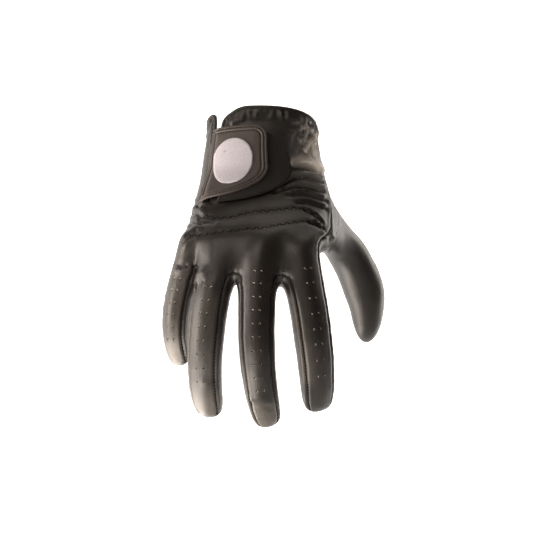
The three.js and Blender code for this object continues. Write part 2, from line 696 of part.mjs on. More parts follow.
function tabGeometry() {
  return sheetGeometry({
    start: 0, lean: tabLean, end: tabLength, low: tabCentre - tabWidth / 2, high: tabCentre + tabWidth / 2,
    corner: tabCorner, lowerCorner: tabLowerCorner,
    under: underTab, over: tabTop,
    rounds: [0, 0.05, 0.09, 0.18, 0.3, 0.42, 0.56, 0.7, 0.82, 0.91, 0.95, 1],
    alongs: [0, 0.015, 0.045, 0.08, 0.16, 0.28, 0.42, 0.58, 0.7, 0.8, 0.88, 0.93, 0.965, 0.988, 1],
  });
}

function patchGeometry() {
  return sheetGeometry({
    start: patchStart, lean: 0, end: tabLength + patchReach, low: tabCentre - tabWidth / 2 + tabBorder,
    high: tabCentre + tabWidth / 2 + patchDrop, corner: patchCorner, lowerCorner: patchLowerCorner,
    under: underPatch, over: (round, rim, along) => underPatch(round, rim, along) + patchThickness,
    rounds: [0, 0.15, 0.3, 0.45, 0.6, 0.74, 0.88, 1],
    alongs: [0, 0.02, 0.06, 0.12, 0.2, 0.32, 0.45, 0.62, 0.74, 0.84, 0.91, 0.96, 0.985, 1],
  });
}

const badgeCentre = { round: badgeInset + badgeWidth / 2, along: tabCentre - badgeRaise };
const badgeSides = 24;
const badgeSag = 0.2; // what the flat faces of the tab and the badge take from their gap
const badgeRings = [0, 0.35, 0.7, 1]; // shares of the radius

function badgeGeometry() {
  const points = [];
  for (const lift of [layerGap + badgeThickness, layerGap])
    for (const ring of badgeRings)
      for (let k = 0; k < (ring ? badgeSides : 1); k++) {
        const a = (k / badgeSides) * 2 * Math.PI;
        const round = badgeCentre.round + (ring * badgeWidth * Math.cos(a)) / 2;
        const share = Math.sin(a) > 0 ? badgeFall : 1 - badgeFall;
        const along = badgeCentre.along + ring * badgeHeight * share * Math.sin(a);
        points.push(overWrist(round, along, underTab(round, 0, along) + tabThickness + badgeSag + lift));
      }
  const half = points.length / 2;
  const at = (ring, k) => (ring === 0 ? 0 : 1 + (ring - 1) * badgeSides + (k % badgeSides));
  const triangles = [];
  for (let k = 0; k < badgeSides; k++) {
    for (let ring = 0; ring + 1 < badgeRings.length; ring++) {
      const [a, b, c, d] = [at(ring, k), at(ring + 1, k), at(ring + 1, k + 1), at(ring, k + 1)];
      triangles.push([a, c, b], [a + half, b + half, c + half]);
      if (ring) triangles.push([a, d, c], [a + half, c + half, d + half]);
    }
    const [i, j] = [at(badgeRings.length - 1, k), at(badgeRings.length - 1, k + 1)];
    triangles.push([i, j, j + half], [i, j + half, i + half]);
  }
  return geometryOf(points, triangles);
}

// A square punch from a finger's centreline out through the leather on one side
function punch(centre, out, across, reach, points, triangles) {
  const along = out.clone().cross(across);
  const first = points.length;
  for (const depth of [0, reach])
    for (const [u, v] of [[-0.5, -0.5], [0.5, -0.5], [0.5, 0.5], [-0.5, 0.5]])
      points.push(centre.clone().addScaledVector(out, depth)
        .addScaledVector(across, u * airHoleSize).addScaledVector(along, v * airHoleSize));
  const quad = (a, b, c, d) => triangles.push([a, b, c].map((i) => i + first), [a, c, d].map((i) => i + first));
  quad(3, 2, 1, 0);
  quad(4, 5, 6, 7);
  for (let k = 0; k < 4; k++) quad(k, (k + 1) % 4, ((k + 1) % 4) + 4, k + 4);
}

function punches(at, length, reach, { first, last, pairs, facing = 90 }) {
  const points = [];
  const triangles = [];
  for (let i = 0; i < pairs; i++) {
    const { centre, side, back } = at(length * mix(first, last, i / (pairs - 1)));
    const turn = facing * degrees;
    const out = side.clone().multiplyScalar(Math.cos(turn)).addScaledVector(back, Math.sin(turn));
    const across = side.clone().multiplyScalar(-Math.sin(turn)).addScaledVector(back, Math.cos(turn));
    for (const half of [-0.5, 0.5])
      punch(centre.clone().addScaledVector(across, half * airHolePair), out, across, reach, points, triangles);
  }
  return geometryOf(points, triangles);
}

const wasm = await Module();
wasm.setup();

const solidOf = (geometry) => new wasm.Manifold(new wasm.Mesh({
  numProp: 3,
  vertProperties: new Float32Array(geometry.getAttribute("position").array),
  triVerts: new Uint32Array(geometry.index.array),
}));

function pierced(geometry, holes) {
  let solid = solidOf(geometry);
  for (const hole of holes) solid = solid.subtract(solidOf(hole));
  const { vertProperties, triVerts } = solid.getMesh();
  const cut = new THREE.BufferGeometry();
  cut.setAttribute("position", new THREE.BufferAttribute(new Float32Array(vertProperties), 3));
  cut.setIndex(new THREE.BufferAttribute(new Uint32Array(triVerts), 1));
  cut.computeVertexNormals();
  return cut;
}

const airHoles = {
  back_panel: fingerLines.map((f) => punches(f.at, f.length, fingerDepth, f.holes)),
  thumb: [punches(thumbLine, thumbLength, thumbWidth, thumb.holes)],
};

const glove = new THREE.Group();
glove.name = "bowling_glove";

function addMesh(name, geometry, color, roughness) {
  const material = new THREE.MeshStandardMaterial({ color, roughness, metalness: 0 });
  const mesh = new THREE.Mesh(geometry, material);
  mesh.name = name;
  glove.add(mesh);
  return mesh;
}

for (const panel of new Set(faces.map((f) => f.panel)))
  addMesh(panel, pierced(panelGeometry(panel), airHoles[panel] ?? []), black.leather, 0.5);
addMesh("cuff_binding", bindingGeometry(), black.binding, 0.55);
addMesh("loop_patch", patchGeometry(), black.fabric, 0.95);
addMesh("closure_tab", tabGeometry(), black.leather, 0.45);
addMesh("badge", badgeGeometry(), black.badge, 0.85);

export default glove;
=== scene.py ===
# A bowling glove of black leather in its worn shape: stitched panels, bound wrist, closure tab and badge.
import math
from functools import lru_cache
from types import SimpleNamespace
import bpy
import numpy as np
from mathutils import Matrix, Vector, noise
from mathutils.bvhtree import BVHTree
from mathutils.kdtree import KDTree


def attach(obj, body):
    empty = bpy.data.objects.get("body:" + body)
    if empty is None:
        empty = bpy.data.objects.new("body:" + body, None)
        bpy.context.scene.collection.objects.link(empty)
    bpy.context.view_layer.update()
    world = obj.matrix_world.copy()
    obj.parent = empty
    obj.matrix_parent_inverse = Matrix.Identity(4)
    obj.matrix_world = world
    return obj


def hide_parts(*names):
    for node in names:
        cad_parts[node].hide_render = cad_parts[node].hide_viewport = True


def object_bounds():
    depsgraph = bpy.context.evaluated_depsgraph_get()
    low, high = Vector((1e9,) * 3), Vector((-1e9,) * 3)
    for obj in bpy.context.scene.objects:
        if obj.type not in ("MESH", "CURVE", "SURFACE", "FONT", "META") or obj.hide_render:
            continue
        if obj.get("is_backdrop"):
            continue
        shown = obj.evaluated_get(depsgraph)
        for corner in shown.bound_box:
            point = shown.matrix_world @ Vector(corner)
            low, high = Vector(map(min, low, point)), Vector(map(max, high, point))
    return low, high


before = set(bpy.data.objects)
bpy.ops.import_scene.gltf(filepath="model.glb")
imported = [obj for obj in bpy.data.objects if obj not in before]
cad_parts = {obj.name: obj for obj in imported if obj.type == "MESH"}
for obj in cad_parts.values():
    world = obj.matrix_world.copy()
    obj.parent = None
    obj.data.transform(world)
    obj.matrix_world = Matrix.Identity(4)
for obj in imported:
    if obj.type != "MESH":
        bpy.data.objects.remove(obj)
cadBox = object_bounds()

mm = 0.001
degree = math.pi / 180


# The glove's smooth skin, from the same sizes as the model, in millimetres

hand = dict(breadth=92, depth=30, wristBreadth=76, wristDepth=47, palm=74, cuff=31, wristLean=16,
            wristBend=40,
            fingerLength=109, fingerWidth=20.5, fingerDepth=19, web=22, thumbLength=120, thumbWidth=23,
            columnSpread=0.42, knuckleSag=2.5, knuckleEdge=0.6, swell=1.1, thumbSwell=1.05,
            sideRound=0.9, backRound=0.85, thumbMuscle=12, webBulge=6, palmSag=0.3, tipOut=1, leather=1.2)
slit = dict(length=62, opening=4.5, shares=(1, 0.5), flapDrop=6, dropShare=0.5, cuffFall=0.15, slitFall=0.4)
detail = dict(levels=3, seamPull=0.09, seamReach=9, rimReach=14)

# how pale each fingertip is coloured stands for rubbing and for painted highlight
fingers = [
    dict(name="little", wearAndPaintedLight=1.0, across=-0.86, along=0.86, back=-0.1, length=0.685, width=0.78, roll=-24,
         bones=(0.44, 0.27, 0.29), splay=(-18, -8, 13), tilt=(22, 6, -14), holes=(0.33, 0.76, 6)),
    dict(name="ring", wearAndPaintedLight=0.8, across=-0.5, along=0.95, back=0.02, length=0.965, width=0.98, roll=-17,
         bones=(0.45, 0.29, 0.26), splay=(-11.5, -3.5, 8), tilt=(24, 2, -26), holes=(0.28, 0.75, 8)),
    dict(name="middle", wearAndPaintedLight=1.0, across=-0.03, along=1.0, back=0.06, length=1.01, width=0.97, roll=0,
         bones=(0.45, 0.29, 0.26), splay=(-3, 3, 14), tilt=(22, 0, -30), holes=(0.17, 0.74, 10)),
    dict(name="index", wearAndPaintedLight=0.0, across=0.45, along=0.97, back=0.0, length=0.925, width=1.03, roll=16,
         bones=(0.45, 0.29, 0.26), splay=(11, 6, 3), tilt=(20, 2, -32), holes=(0.17, 0.73, 8)),
]
fingerRings = [(0.0, 1.04, 1.12), (0.22, 1.02, 1.03), (0.48, 1.0, 0.97), (0.72, 0.92, 0.87),
               (0.88, 0.87, 0.76), (0.97, 0.66, 0.5)]  # place, width, depth
ringAngles = [148, 90, 32, -4, -38, -90, -142, -176]
sectionKeys = ("at", "blend", "width", "back", "palm", "shift", "heel", "web")
handSections = [dict(zip(sectionKeys, row)) for row in (
    (-1.0, 0.0, 0.93, 1.0, 0.95, 0.0, 0.0, 0.0),
    (-0.6, 0.0, 0.94, 0.965, 0.95, 0.0, 0.0, 0.0),
    (0.0, 0.1, 0.98, 0.96, 0.98, 0.0, 0.1, 0.0),
    (0.14, 0.24, 0.99, 0.97, 0.99, 0.005, 0.4, 0.0),
    (0.27, 0.42, 1.0, 0.99, 1.0, 0.005, 0.8, 0.17),
    (0.4, 0.62, 0.99, 1.0, 1.0, 0.0, 1.0, 0.67),
    (0.54, 0.8, 0.97, 1.02, 1.0, -0.01, 1.0, 1.0),
    (0.69, 0.95, 0.96, 1.02, 1.0, -0.02, 0.6, 0.83),
    (0.84, 1.0, 0.97, 1.02, 1.0, -0.03, 0.2, 0.33),
)]
thumb = dict(across=0.53, along=0.12, palm=0.9, bones=(0.38, 0.32, 0.3), splay=(39, 31, -5),
             tilt=(-16, -8, 4),
             holes=(0.44, 0.86, 7), facing=22, tipWidth=0.35, firstRow=4, lastRow=7, columns=3)
thumbRings = [(0.4, 1.14, 1.3), (0.52, 1.12, 1.14), (0.67, 1.24, 1.08), (0.81, 0.98, 0.94),
              (0.93, 0.66, 0.66)]
muscleShares = [0.33, 0.75, 1.0, 0.83, 0.42]
panelNames = ["back_panel", "palm_panel", "fourchette_little_ring", "fourchette_ring_middle",
              "fourchette_middle_index", "thumb"]


def vec(x, y, z):
    return np.array([x, y, z], float)


def mix(a, b, t):
    return a + (b - a) * t


def ease(t):
    t = np.clip(t, 0.0, 1.0)
    return t * t * (3 - 2 * t)


def frameAt(centre, splay, tilt, roll=0.0):  # splay leans towards the thumb, tilt out of the back
    f, t, r = splay * degree, tilt * degree, roll * degree
    along = vec(math.sin(f) * math.cos(t), -math.sin(t), -math.cos(f) * math.cos(t))
    flatBack = vec(-math.sin(f) * math.sin(t), -math.cos(t), math.cos(f) * math.sin(t))
    flatSide = np.cross(flatBack, along)
    return SimpleNamespace(centre=centre, along=along, back=flatBack * math.cos(r) + flatSide * math.sin(r),
                           side=flatSide * math.cos(r) - flatBack * math.sin(r))


def centreline(start, lengths, splays, tilts, roll=0.0):
    middles = [sum(lengths[:i]) + length / 2 for i, length in enumerate(lengths)]

    def at(distance):
        steps = max(1, math.ceil(abs(distance)))
        step = distance / steps
        centre = start.copy()
        for i in range(steps):
            s = (i + 0.5) * step
            here = frameAt(start, np.interp(s, middles, splays), np.interp(s, middles, tilts))
            centre = centre + step * here.along
        return frameAt(centre, np.interp(distance, middles, splays), np.interp(distance, middles, tilts),
                       roll)
    return at


def pointOn(f, across, out):
    return f.centre + f.side * across + f.back * out


# lengths of the palm, and how much of the wrist's bend is made there
bendShares = [(0.2, 0.05), (0.4, 0.55), (0.4, 1.0)]
handLine = centreline(vec(0, 0, 0), [hand["palm"] * length for length, _ in bendShares], [0, 0, 0],
                      [hand["wristLean"] + hand["wristBend"] * turned for _, turned in bendShares])


@lru_cache(maxsize=None)
def lineAt(distance):
    if distance < 0:
        return frameAt(frameAt(vec(0, 0, 0), 0, hand["wristLean"]).along * distance, 0, hand["wristLean"])
    return handLine(distance)


for f in fingers:
    root = lineAt(hand["palm"] * f["along"])
    f["reach"] = hand["fingerLength"] * f["length"]
    f["line"] = centreline(pointOn(root, f["across"] * hand["breadth"] / 2, f["back"] * hand["depth"]),
                           [b * f["reach"] for b in f["bones"]], f["splay"], f["tilt"], f["roll"])
thumbStart = pointOn(lineAt(hand["palm"] * thumb["along"]), thumb["across"] * hand["breadth"] / 2,
                     -thumb["palm"] * hand["depth"] / 2)
thumbLine = centreline(thumbStart, [b * hand["thumbLength"] for b in thumb["bones"]],
                       thumb["splay"], thumb["tilt"])

backColumns = len(fingers) * 3
thumbEdge = backColumns
littleEdge = backColumns * 2 + 1
columnCount = littleEdge + 1
columnStep = 180 / (backColumns + 1)
slitColumn = 2


def palmColumn(finger, k):
    return littleEdge - 1 - (finger * 3 + k)


def sectionAngle(column):
    return 180 - (column + 1) * columnStep if column <= thumbEdge else -(column - thumbEdge) * columnStep


def distanceOf(section):
    return section["at"] * (hand["cuff"] if section["at"] < 0 else hand["palm"])


sectionPlaces = [distanceOf(s) for s in handSections]


def handSurface(distance, angle):  # 0 thumb edge, 90 back, -90 palm
    s = {k: np.interp(distance, sectionPlaces, [row[k] for row in handSections]) for k in sectionKeys[1:6]}
    a = angle * degree
    half = mix(hand["wristBreadth"], hand["breadth"], s["blend"]) * s["width"] / 2
    side = s["back"] if math.sin(a) > 0 else s["palm"]
    depth = mix(hand["wristDepth"], hand["depth"], s["blend"]) / 2 * side
    across = half * math.copysign(abs(math.cos(a)) ** hand["sideRound"], math.cos(a))
    return pointOn(lineAt(distance), across + s["shift"] * hand["breadth"],
                   depth * math.copysign(abs(math.sin(a)) ** hand["backRound"], math.sin(a)))


points, quads, quadPanels, body = [], [], [], []


def addPoint(p):
    points.append(p)
    return len(points) - 1


def addQuad(panel, *corners):
    quads.append(corners)
    quadPanels.append(panelNames.index(panel))


def ringPoint(f, width, depth, angle):
    a = angle * degree
    across, out = width / 2 * math.cos(a) * hand["swell"], depth / 2 * math.sin(a) * hand["swell"]
    return addPoint(pointOn(f, across, out))


def buildHand():
    for s in handSections:
        f = lineAt(distanceOf(s))
        row = []
        for column in range(columnCount):
            p = handSurface(distanceOf(s), sectionAngle(column))
            fall = hand["cuff"] * slit["cuffFall"] * (1 - math.sin(sectionAngle(column) * degree))
            p = p + f.along * fall * (1 if column > backColumns / 2 else slit["slitFall"]) * max(0, -s["at"])
            if column == thumbEdge:
                p = p + f.side * s["web"] * hand["webBulge"]
            if 0 <= column - thumbEdge < len(muscleShares):
                p = p - f.back * s["heel"] * hand["thumbMuscle"] * muscleShares[column - thumbEdge]
            row.append(addPoint(p))
        body.append(row)
    knuckleRow, webRow = [None] * columnCount, [None] * columnCount
    for i, f in enumerate(fingers):
        width = hand["fingerWidth"] * f["width"]
        knuckle = f["line"](0)
        for k in range(3):
            sag = 0 if k == 1 else -hand["knuckleSag"]
            spread = (k - 1) * width * hand["columnSpread"]
            knuckleRow[i * 3 + k] = addPoint(pointOn(knuckle, spread, hand["depth"] / 2 + sag))
            knuckleRow[palmColumn(i, k)] = addPoint(
                pointOn(knuckle, spread, -hand["depth"] / 2 - sag * hand["palmSag"]))
        web = f["line"](hand["web"] * f["reach"] / hand["fingerLength"])
        _, wide, deep = fingerRings[0]
        for k, angle in enumerate(ringAngles):
            v = ringPoint(web, width * wide, hand["fingerDepth"] * f["width"] * deep, angle)
            if k < 3:
                webRow[i * 3 + k] = v
            elif 3 < k < 7:
                webRow[palmColumn(i, 6 - k)] = v
            else:
                f["thumbSide" if k == 3 else "littleSide"] = v
    first, last = fingers[0], fingers[-1]
    for f, column, outwards in ((last, thumbEdge, 1), (first, littleEdge, -1)):
        edge = outwards * hand["fingerWidth"] * f["width"] * hand["knuckleEdge"]
        knuckleRow[column] = addPoint(pointOn(f["line"](0), edge, 0))
    webRow[thumbEdge], webRow[littleEdge] = last["thumbSide"], first["littleSide"]
    body.extend([knuckleRow, webRow])


def openSlit():
    top = points[body[0][slitColumn]]
    rows = 1
    while rows < len(body) - 3 and np.linalg.norm(top - points[body[rows][slitColumn]]) < slit["length"]:
        rows += 1
    slitEdge = {}
    for row in range(rows):
        wide = slit["opening"] / 2 * (1 - row / rows)
        across = points[body[row][slitColumn + 1]] - points[body[row][slitColumn - 1]]
        across = across / np.linalg.norm(across)
        far = points[body[row][slitColumn]] + across * wide
        points[body[row][slitColumn]] = points[body[row][slitColumn]] - across * wide
        for k, share in enumerate(slit["shares"]):
            for v, side in ((body[row][slitColumn - 1 - k], -1), (body[row][slitColumn + 1 + k], 1)):
                points[v] = points[v] + side * across * wide * share
        drop = slit["flapDrop"] * max(0, -handSections[row]["at"]) ** 2
        far[2] -= drop
        points[body[row][slitColumn + 1]][2] -= drop * slit["dropShare"]
        slitEdge[row] = addPoint(far)
    return slitEdge


def joinHand(slitEdge):
    for row in range(len(body) - 1):
        for column in range(columnCount):
            inRows = thumb["firstRow"] <= row < thumb["lastRow"]
            if inRows and thumbEdge <= column < thumbEdge + thumb["columns"]:
                continue  # the thumb's hole
            after = (column + 1) % columnCount
            left = [body[r][column] for r in (row, row + 1)]
            if column == slitColumn:
                left = [slitEdge.get(row, left[0]), slitEdge.get(row + 1, left[1])]
            panel = "back_panel" if column < thumbEdge - 1 or column == littleEdge else "palm_panel"
            addQuad(panel, left[0], left[1], body[row + 1][after], body[row][after])


def joinFingers():
    webRow = body[-1]
    for i, f in enumerate(fingers):
        width, depth = hand["fingerWidth"] * f["width"], hand["fingerDepth"] * f["width"]
        web = hand["web"] * f["reach"] / hand["fingerLength"]
        above = [webRow[i * 3], webRow[i * 3 + 1], webRow[i * 3 + 2], f["thumbSide"],
                 webRow[palmColumn(i, 2)], webRow[palmColumn(i, 1)], webRow[palmColumn(i, 0)],
                 f["littleSide"]]
        f["base"] = above
        toLittle = f"fourchette_{fingers[i - 1]['name']}_{f['name']}" if i else None
        toThumb = f"fourchette_{f['name']}_{fingers[i + 1]['name']}" if i + 1 < len(fingers) else None
        panels = ["back_panel", "back_panel", toThumb or "palm_panel", toThumb or "palm_panel",
                  "palm_panel", "palm_panel", toLittle or "palm_panel", toLittle or "back_panel"]
        for at, wide, deep in fingerRings[1:]:
            ring = f["line"](web + (f["reach"] - web) * at)
            below = [ringPoint(ring, width * wide, depth * deep, angle) for angle in ringAngles]
            for k in range(8):
                addQuad(panels[k], above[k], below[k], below[(k + 1) % 8], above[(k + 1) % 8])
            above = below
        end = addPoint(f["line"](f["reach"] + hand["tipOut"]).centre)
        addQuad("back_panel", above[0], above[7], end, above[1])
        addQuad("back_panel", above[1], end, above[3], above[2])
        addQuad("palm_panel", above[7], above[6], above[5], end)
        addQuad("palm_panel", end, above[5], above[4], above[3])
    for i in range(len(fingers) - 1):
        a, b = fingers[i]["base"], fingers[i + 1]["base"]
        panel = f"fourchette_{fingers[i]['name']}_{fingers[i + 1]['name']}"
        addQuad(panel, a[2], a[3], b[7], b[0])
        addQuad(panel, a[3], a[4], b[6], b[7])


def joinThumb():
    first, last, columns = thumb["firstRow"], thumb["lastRow"], thumb["columns"]
    inner = [thumbEdge + 1 + c for c in range(columns - 1)]
    rows = list(range(first, last + 1))
    above = ([body[last][c] for c in reversed(inner)] + [body[r][thumbEdge] for r in reversed(rows)]
             + [body[first][c] for c in inner] + [body[r][thumbEdge + columns] for r in rows])
    count = len(above)
    half = hand["thumbWidth"] / 2 * hand["thumbSwell"]
    for at, wide, deep in thumbRings:
        ring = thumbLine(hand["thumbLength"] * at)
        below = []
        for k in range(count):
            a = (k - (columns - 2) / 2) / count * 2 * math.pi
            below.append(addPoint(pointOn(ring, -half * wide * math.cos(a), half * deep * math.sin(a))))
        for k in range(count):
            addQuad("thumb", above[k], below[k], below[(k + 1) % count], above[(k + 1) % count])
        above = below
    tip = thumbLine(hand["thumbLength"])
    span = count // 2 - 2
    middle = [above[0]]
    for i in range(1, span):
        middle.append(addPoint(pointOn(tip, (i / span - 0.5) * hand["thumbWidth"] * thumb["tipWidth"], 0)))
    middle.append(above[span + 2])
    for i in range(span):
        addQuad("thumb", above[1 + i], middle[i], middle[i + 1], above[2 + i])
        addQuad("thumb", middle[i], above[count - 1 - i], above[count - 2 - i], middle[i + 1])


def linkNew(name, mesh):
    obj = bpy.data.objects.new(name, mesh)
    bpy.context.scene.collection.objects.link(obj)
    return obj


def settled(obj, name):  # the evaluated object as a plain mesh piece, and the working object is gone
    mesh = bpy.data.meshes.new_from_object(obj.evaluated_get(bpy.context.evaluated_depsgraph_get()))
    bpy.data.objects.remove(obj)
    mesh.name = name
    return mesh


buildHand()
slitEdge = openSlit()
joinHand(slitEdge)
joinFingers()
joinThumb()
cage = bpy.data.meshes.new("skin_cage")
cage.from_pydata([tuple(p) for p in points], [], quads)
cage.polygons.foreach_set("material_index", quadPanels)
skinObject = linkNew("skin_cage", cage)
smooth = skinObject.modifiers.new("smooth", "SUBSURF")
smooth.levels = smooth.render_levels = detail["levels"]
skinMesh = settled(skinObject, "skin")
print("skin:", len(skinMesh.vertices), "vertices,", len(skinMesh.polygons), "faces")

co = np.zeros(len(skinMesh.vertices) * 3)
skinMesh.vertices.foreach_get("co", co)
co = co.reshape(-1, 3)
faces = np.array([p.vertices[:] for p in skinMesh.polygons])
facePanels = np.zeros(len(faces), int)
skinMesh.polygons.foreach_get("material_index", facePanels)


def normalsOf(position):
    a, b, c, d = (position[faces[:, k]] for k in range(4))
    n = np.cross(c - a, d - b)
    out = np.zeros_like(position)
    for k in range(4):
        np.add.at(out, faces[:, k], n)
    return out / np.maximum(np.linalg.norm(out, axis=1, keepdims=True), 1e-12)


normals = normalsOf(co)

# Edges between panels are seams, and edges with one face are the bound rim
edgeFaces = {}
for q, face in enumerate(faces):
    for k in range(4):
        a, b = int(face[k]), int(face[(k + 1) % 4])
        edgeFaces.setdefault((min(a, b), max(a, b)), []).append((q, a, b))
seamEdges, rimEdges = [], []
for found in edgeFaces.values():
    if len(found) == 1:
        rimEdges.append(found[0][1:])
    elif facePanels[found[0][0]] != facePanels[found[1][0]]:
        pair = tuple(sorted((int(facePanels[found[0][0]]), int(facePanels[found[1][0]]))))
        seamEdges.append((found[0][1], found[0][2], pair))


unreached = 1e3  # mm, for points further away than the reach


def distanceToEdges(edges, reach):
    spots = [co[a] * (1 - t) + co[b] * t for a, b, *_ in edges for t in (0.0, 0.5)]
    tree = KDTree(len(spots))
    for i, p in enumerate(spots):
        tree.insert(p, i)
    tree.balance()
    nearest = np.array([tree.find(p)[2] for p in co])
    return np.where(nearest < reach, nearest, unreached)


seamDistance = distanceToEdges(seamEdges, detail["seamReach"])
rimDistance = distanceToEdges(rimEdges, detail["rimReach"])
print("seams:", len(seamEdges), "edges; rim:", len(rimEdges))

# Where each point lies on the glove: distance along it from the wrist, and angle round the section
bestGap = np.full(len(co), np.inf)
handDistance = np.zeros(len(co))
handAngle = np.zeros(len(co))
for distance in range(-hand["cuff"], hand["palm"] + 1):
    f = lineAt(distance)
    off = co - f.centre
    gap = np.abs(off @ f.along)
    near = gap < bestGap
    bestGap[near] = gap[near]
    handDistance[near] = distance
    handAngle[near] = np.degrees(np.arctan2((off @ f.back)[near] / hand["wristDepth"],
                                            (off @ f.side)[near] / hand["wristBreadth"]))

# Folds across the back: share of the palm, half-width, height in mm, from and to angle
foldRows = [(0.04, 0.075, 1.14, 4, 60), (0.185, 0.05, 0.72, 0, 64), (0.29, 0.05, 0.6, 0, 58),
            (0.53, 0.054, 0.54, 125, 175)]
# Gathers in the same way, and the pitch of their ripples in degrees
gatherRows = [(-0.23, 0.15, 0.8, 4, 58, 8.0), (0.50, 0.06, 0.7, 122, 178, 9.0)]
gatherSway = 7  # degrees by which the ripples wander

# Creases and ridges on the back, as seen from the front: height and half-width in mm, then x, z
strokes = [
    # crease and fold at the base of the little and ring fingers
    (-1.1, 0.9, [(-50.5, -62.6), (-45, -63.8), (-40.5, -63.4)]),
    (0.9, 1.7, [(-50, -66), (-45, -66.8), (-40, -66.2)]),
    (0.9, 1.6, [(-38.6, -74), (-36.4, -70), (-33.4, -67.8)]),
    (0.8, 1.8, [(-34.4, -68.4), (-31.4, -67)]),
    (-0.9, 0.9, [(-37.4, -76.5), (-35, -72.6), (-32.6, -70.6)]),
    (-0.6, 0.9, [(-32.6, -70.6), (-30.4, -69.4)]),
    (-0.4, 1.0, [(-30.4, -69.4), (-26.4, -68.8)]),
    # the raised knuckles and the ridges that run back from them
    (0.5, 7.5, [(-1.9, -72), (-1.5, -62), (0.5, -47)]),
    (0.8, 7.5, [(22.7, -74), (22, -62), (19, -47)]),
    (-0.5, 6.0, [(-27, -62), (-25, -55), (-22, -47)]),
    (0.6, 5.0, [(-43.5, -74), (-42, -64), (-37, -52)]),
    (-0.4, 4.5, [(-13, -66), (-11.5, -57), (-9, -48)]),
    (-0.5, 4.5, [(10.5, -66), (11, -57), (10.5, -48)]),
    (-0.4, 3.5, [(-34.5, -62), (-32, -54)]),
    # gathers beside the end of the slit
    (-1.0, 0.8, [(-43, -31.6), (-38.3, -32.6), (-33.1, -34.8), (-28.1, -36.1)]),
    (1.1, 1.1, [(-43, -28.6), (-39.3, -29.8), (-35.4, -32)]),
    (-1.0, 0.8, [(-42.5, -25.2), (-38.4, -27.6)]),
    (0.9, 1.0, [(-41.5, -22.5), (-37.8, -24.6)]),
    (0.9, 1.0, [(-44, -34), (-38.5, -35.2)]),
    (-0.9, 0.8, [(-45, -36.8), (-40.5, -37.6), (-36, -38.6)]),
    (0.7, 1.0, [(-45.4, -39.4), (-40, -40.4), (-35, -41)]),
    (-0.8, 0.8, [(-45.6, -49.8), (-41.6, -46.4), (-38.3, -42.8)]),
    (0.7, 0.9, [(-44.6, -52), (-40, -47.6), (-36.5, -43.2)]),
    (-0.6, 0.8, [(-42.6, -40.6), (-38.2, -39.4), (-32.8, -38.4), (-27.9, -38.4)]),
    # the bulge beside the patch, and the folds under it
    (2.3, 2.5, [(18.4, -0.6), (22.9, 0), (27.7, -0.4), (32.6, -1.8), (35.4, -4)]),
    (-1.3, 0.75, [(16.8, -3.4), (22.9, -4.1), (29, -4.8), (34.5, -7)]),
    (1.2, 1.1, [(11.6, -14), (14.6, -10.6), (19.5, -7.4), (25, -6.6), (30.4, -6.9), (36.4, -9)]),
    (-1.3, 1.0, [(12.6, -15.4), (16, -12.4), (20.4, -10), (25, -9.2), (30.8, -9.8), (37, -12)]),
    (1.0, 0.9, [(9.8, -17), (15.4, -14.4), (20.5, -12.8), (26.5, -12.4), (37.4, -14.8)]),
    (-1.2, 0.9, [(7.4, -19.2), (13.5, -16.8), (20, -15.4), (28, -15.5), (37.6, -17.8)]),
    (0.9, 1.0, [(17.5, -18), (26.5, -17.8), (37.6, -20.8)]),
    (-1.0, 0.9, [(15.5, -21), (24, -20.2), (31, -21.2), (38.6, -23.8)]),
    (0.9, 1.0, [(20, -23.4), (28, -23.4), (38.6, -26.6)]),
    (-0.9, 0.8, [(21, -25.8), (30.1, -26.4), (38.6, -29.4)]),
    (-1.0, 0.7, [(25.6, -30.4), (31, -33), (35.6, -38.2), (37.8, -43)]),
    (0.9, 0.8, [(27.6, -29), (33.4, -32.4), (37.6, -37.4)]),
    (-0.9, 0.7, [(27.1, -37.6), (31.9, -38.7), (36, -41.7), (37.8, -46.3)]),
    (0.8, 0.8, [(30, -36.2), (34.6, -38.2), (37.6, -42)]),
    (0.9, 1.0, [(35.4, -43), (37.6, -48), (38.4, -54)]),
    # the strip of palm leather that wraps the thumb side
    (0.9, 1.1, [(41.2, -24), (41.6, -34), (41.4, -46)]),
    (-0.9, 0.8, [(44.4, -26), (44.6, -36), (43.8, -46)]),
    (1.3, 1.3, [(40.6, -54), (42.4, -50.8), (42.2, -47)]),
    (-0.9, 0.8, [(39.6, -53), (40.6, -50), (40.2, -46.5)]),
    # crumples at the thumb side of the wrist
    (1.2, 1.5, [(23.6, 22), (27, 23.4), (30.4, 22.2)]),
    (-1.3, 0.8, [(24.4, 17.6), (28, 18.4), (31, 20)]),
    (1.1, 0.9, [(27, 16.8), (24, 13.6)]),
    (-1.3, 0.7, [(29.4, 17.6), (27.6, 14.6), (24.6, 10.8)]),
    (1.4, 0.9, [(31.4, 15.6), (29, 12), (26.4, 8.2)]),
    (-1.3, 0.7, [(33.2, 16.8), (32, 13.6), (30.2, 10)]),
    (1.3, 0.9, [(35, 20.4), (33.8, 16.6), (32.8, 13)]),
    (1.1, 0.8, [(31.6, 11.8), (32.2, 8), (32.6, 4.4)]),
    (-1.1, 0.7, [(30, 8.6), (30.4, 5.6), (31.4, 3.2)]),
    (-0.9, 0.7, [(25.2, 9.2), (22.6, 6.2)]),
    (0.8, 0.9, [(23, 10.6), (21, 8)]),
    (-0.8, 0.9, [(21, 14), (23.4, 18.6)]),
    # fingertips and the forks between the fingers
    (0.7, 1.6, [(-6, -137.6), (-0.8, -138.4), (5, -140.2)]),
    (-0.7, 1.2, [(-6, -141), (-0.8, -141.8), (5, -143.4)]),
    (0.6, 1.6, [(-33, -129), (-27, -130.6)]),
    (-0.7, 0.9, [(8.3, -73), (9.9, -67.1), (10.5, -62.5)]),
    (-0.6, 0.9, [(-19.5, -76), (-16.5, -69.5), (-14.6, -65)]),
]
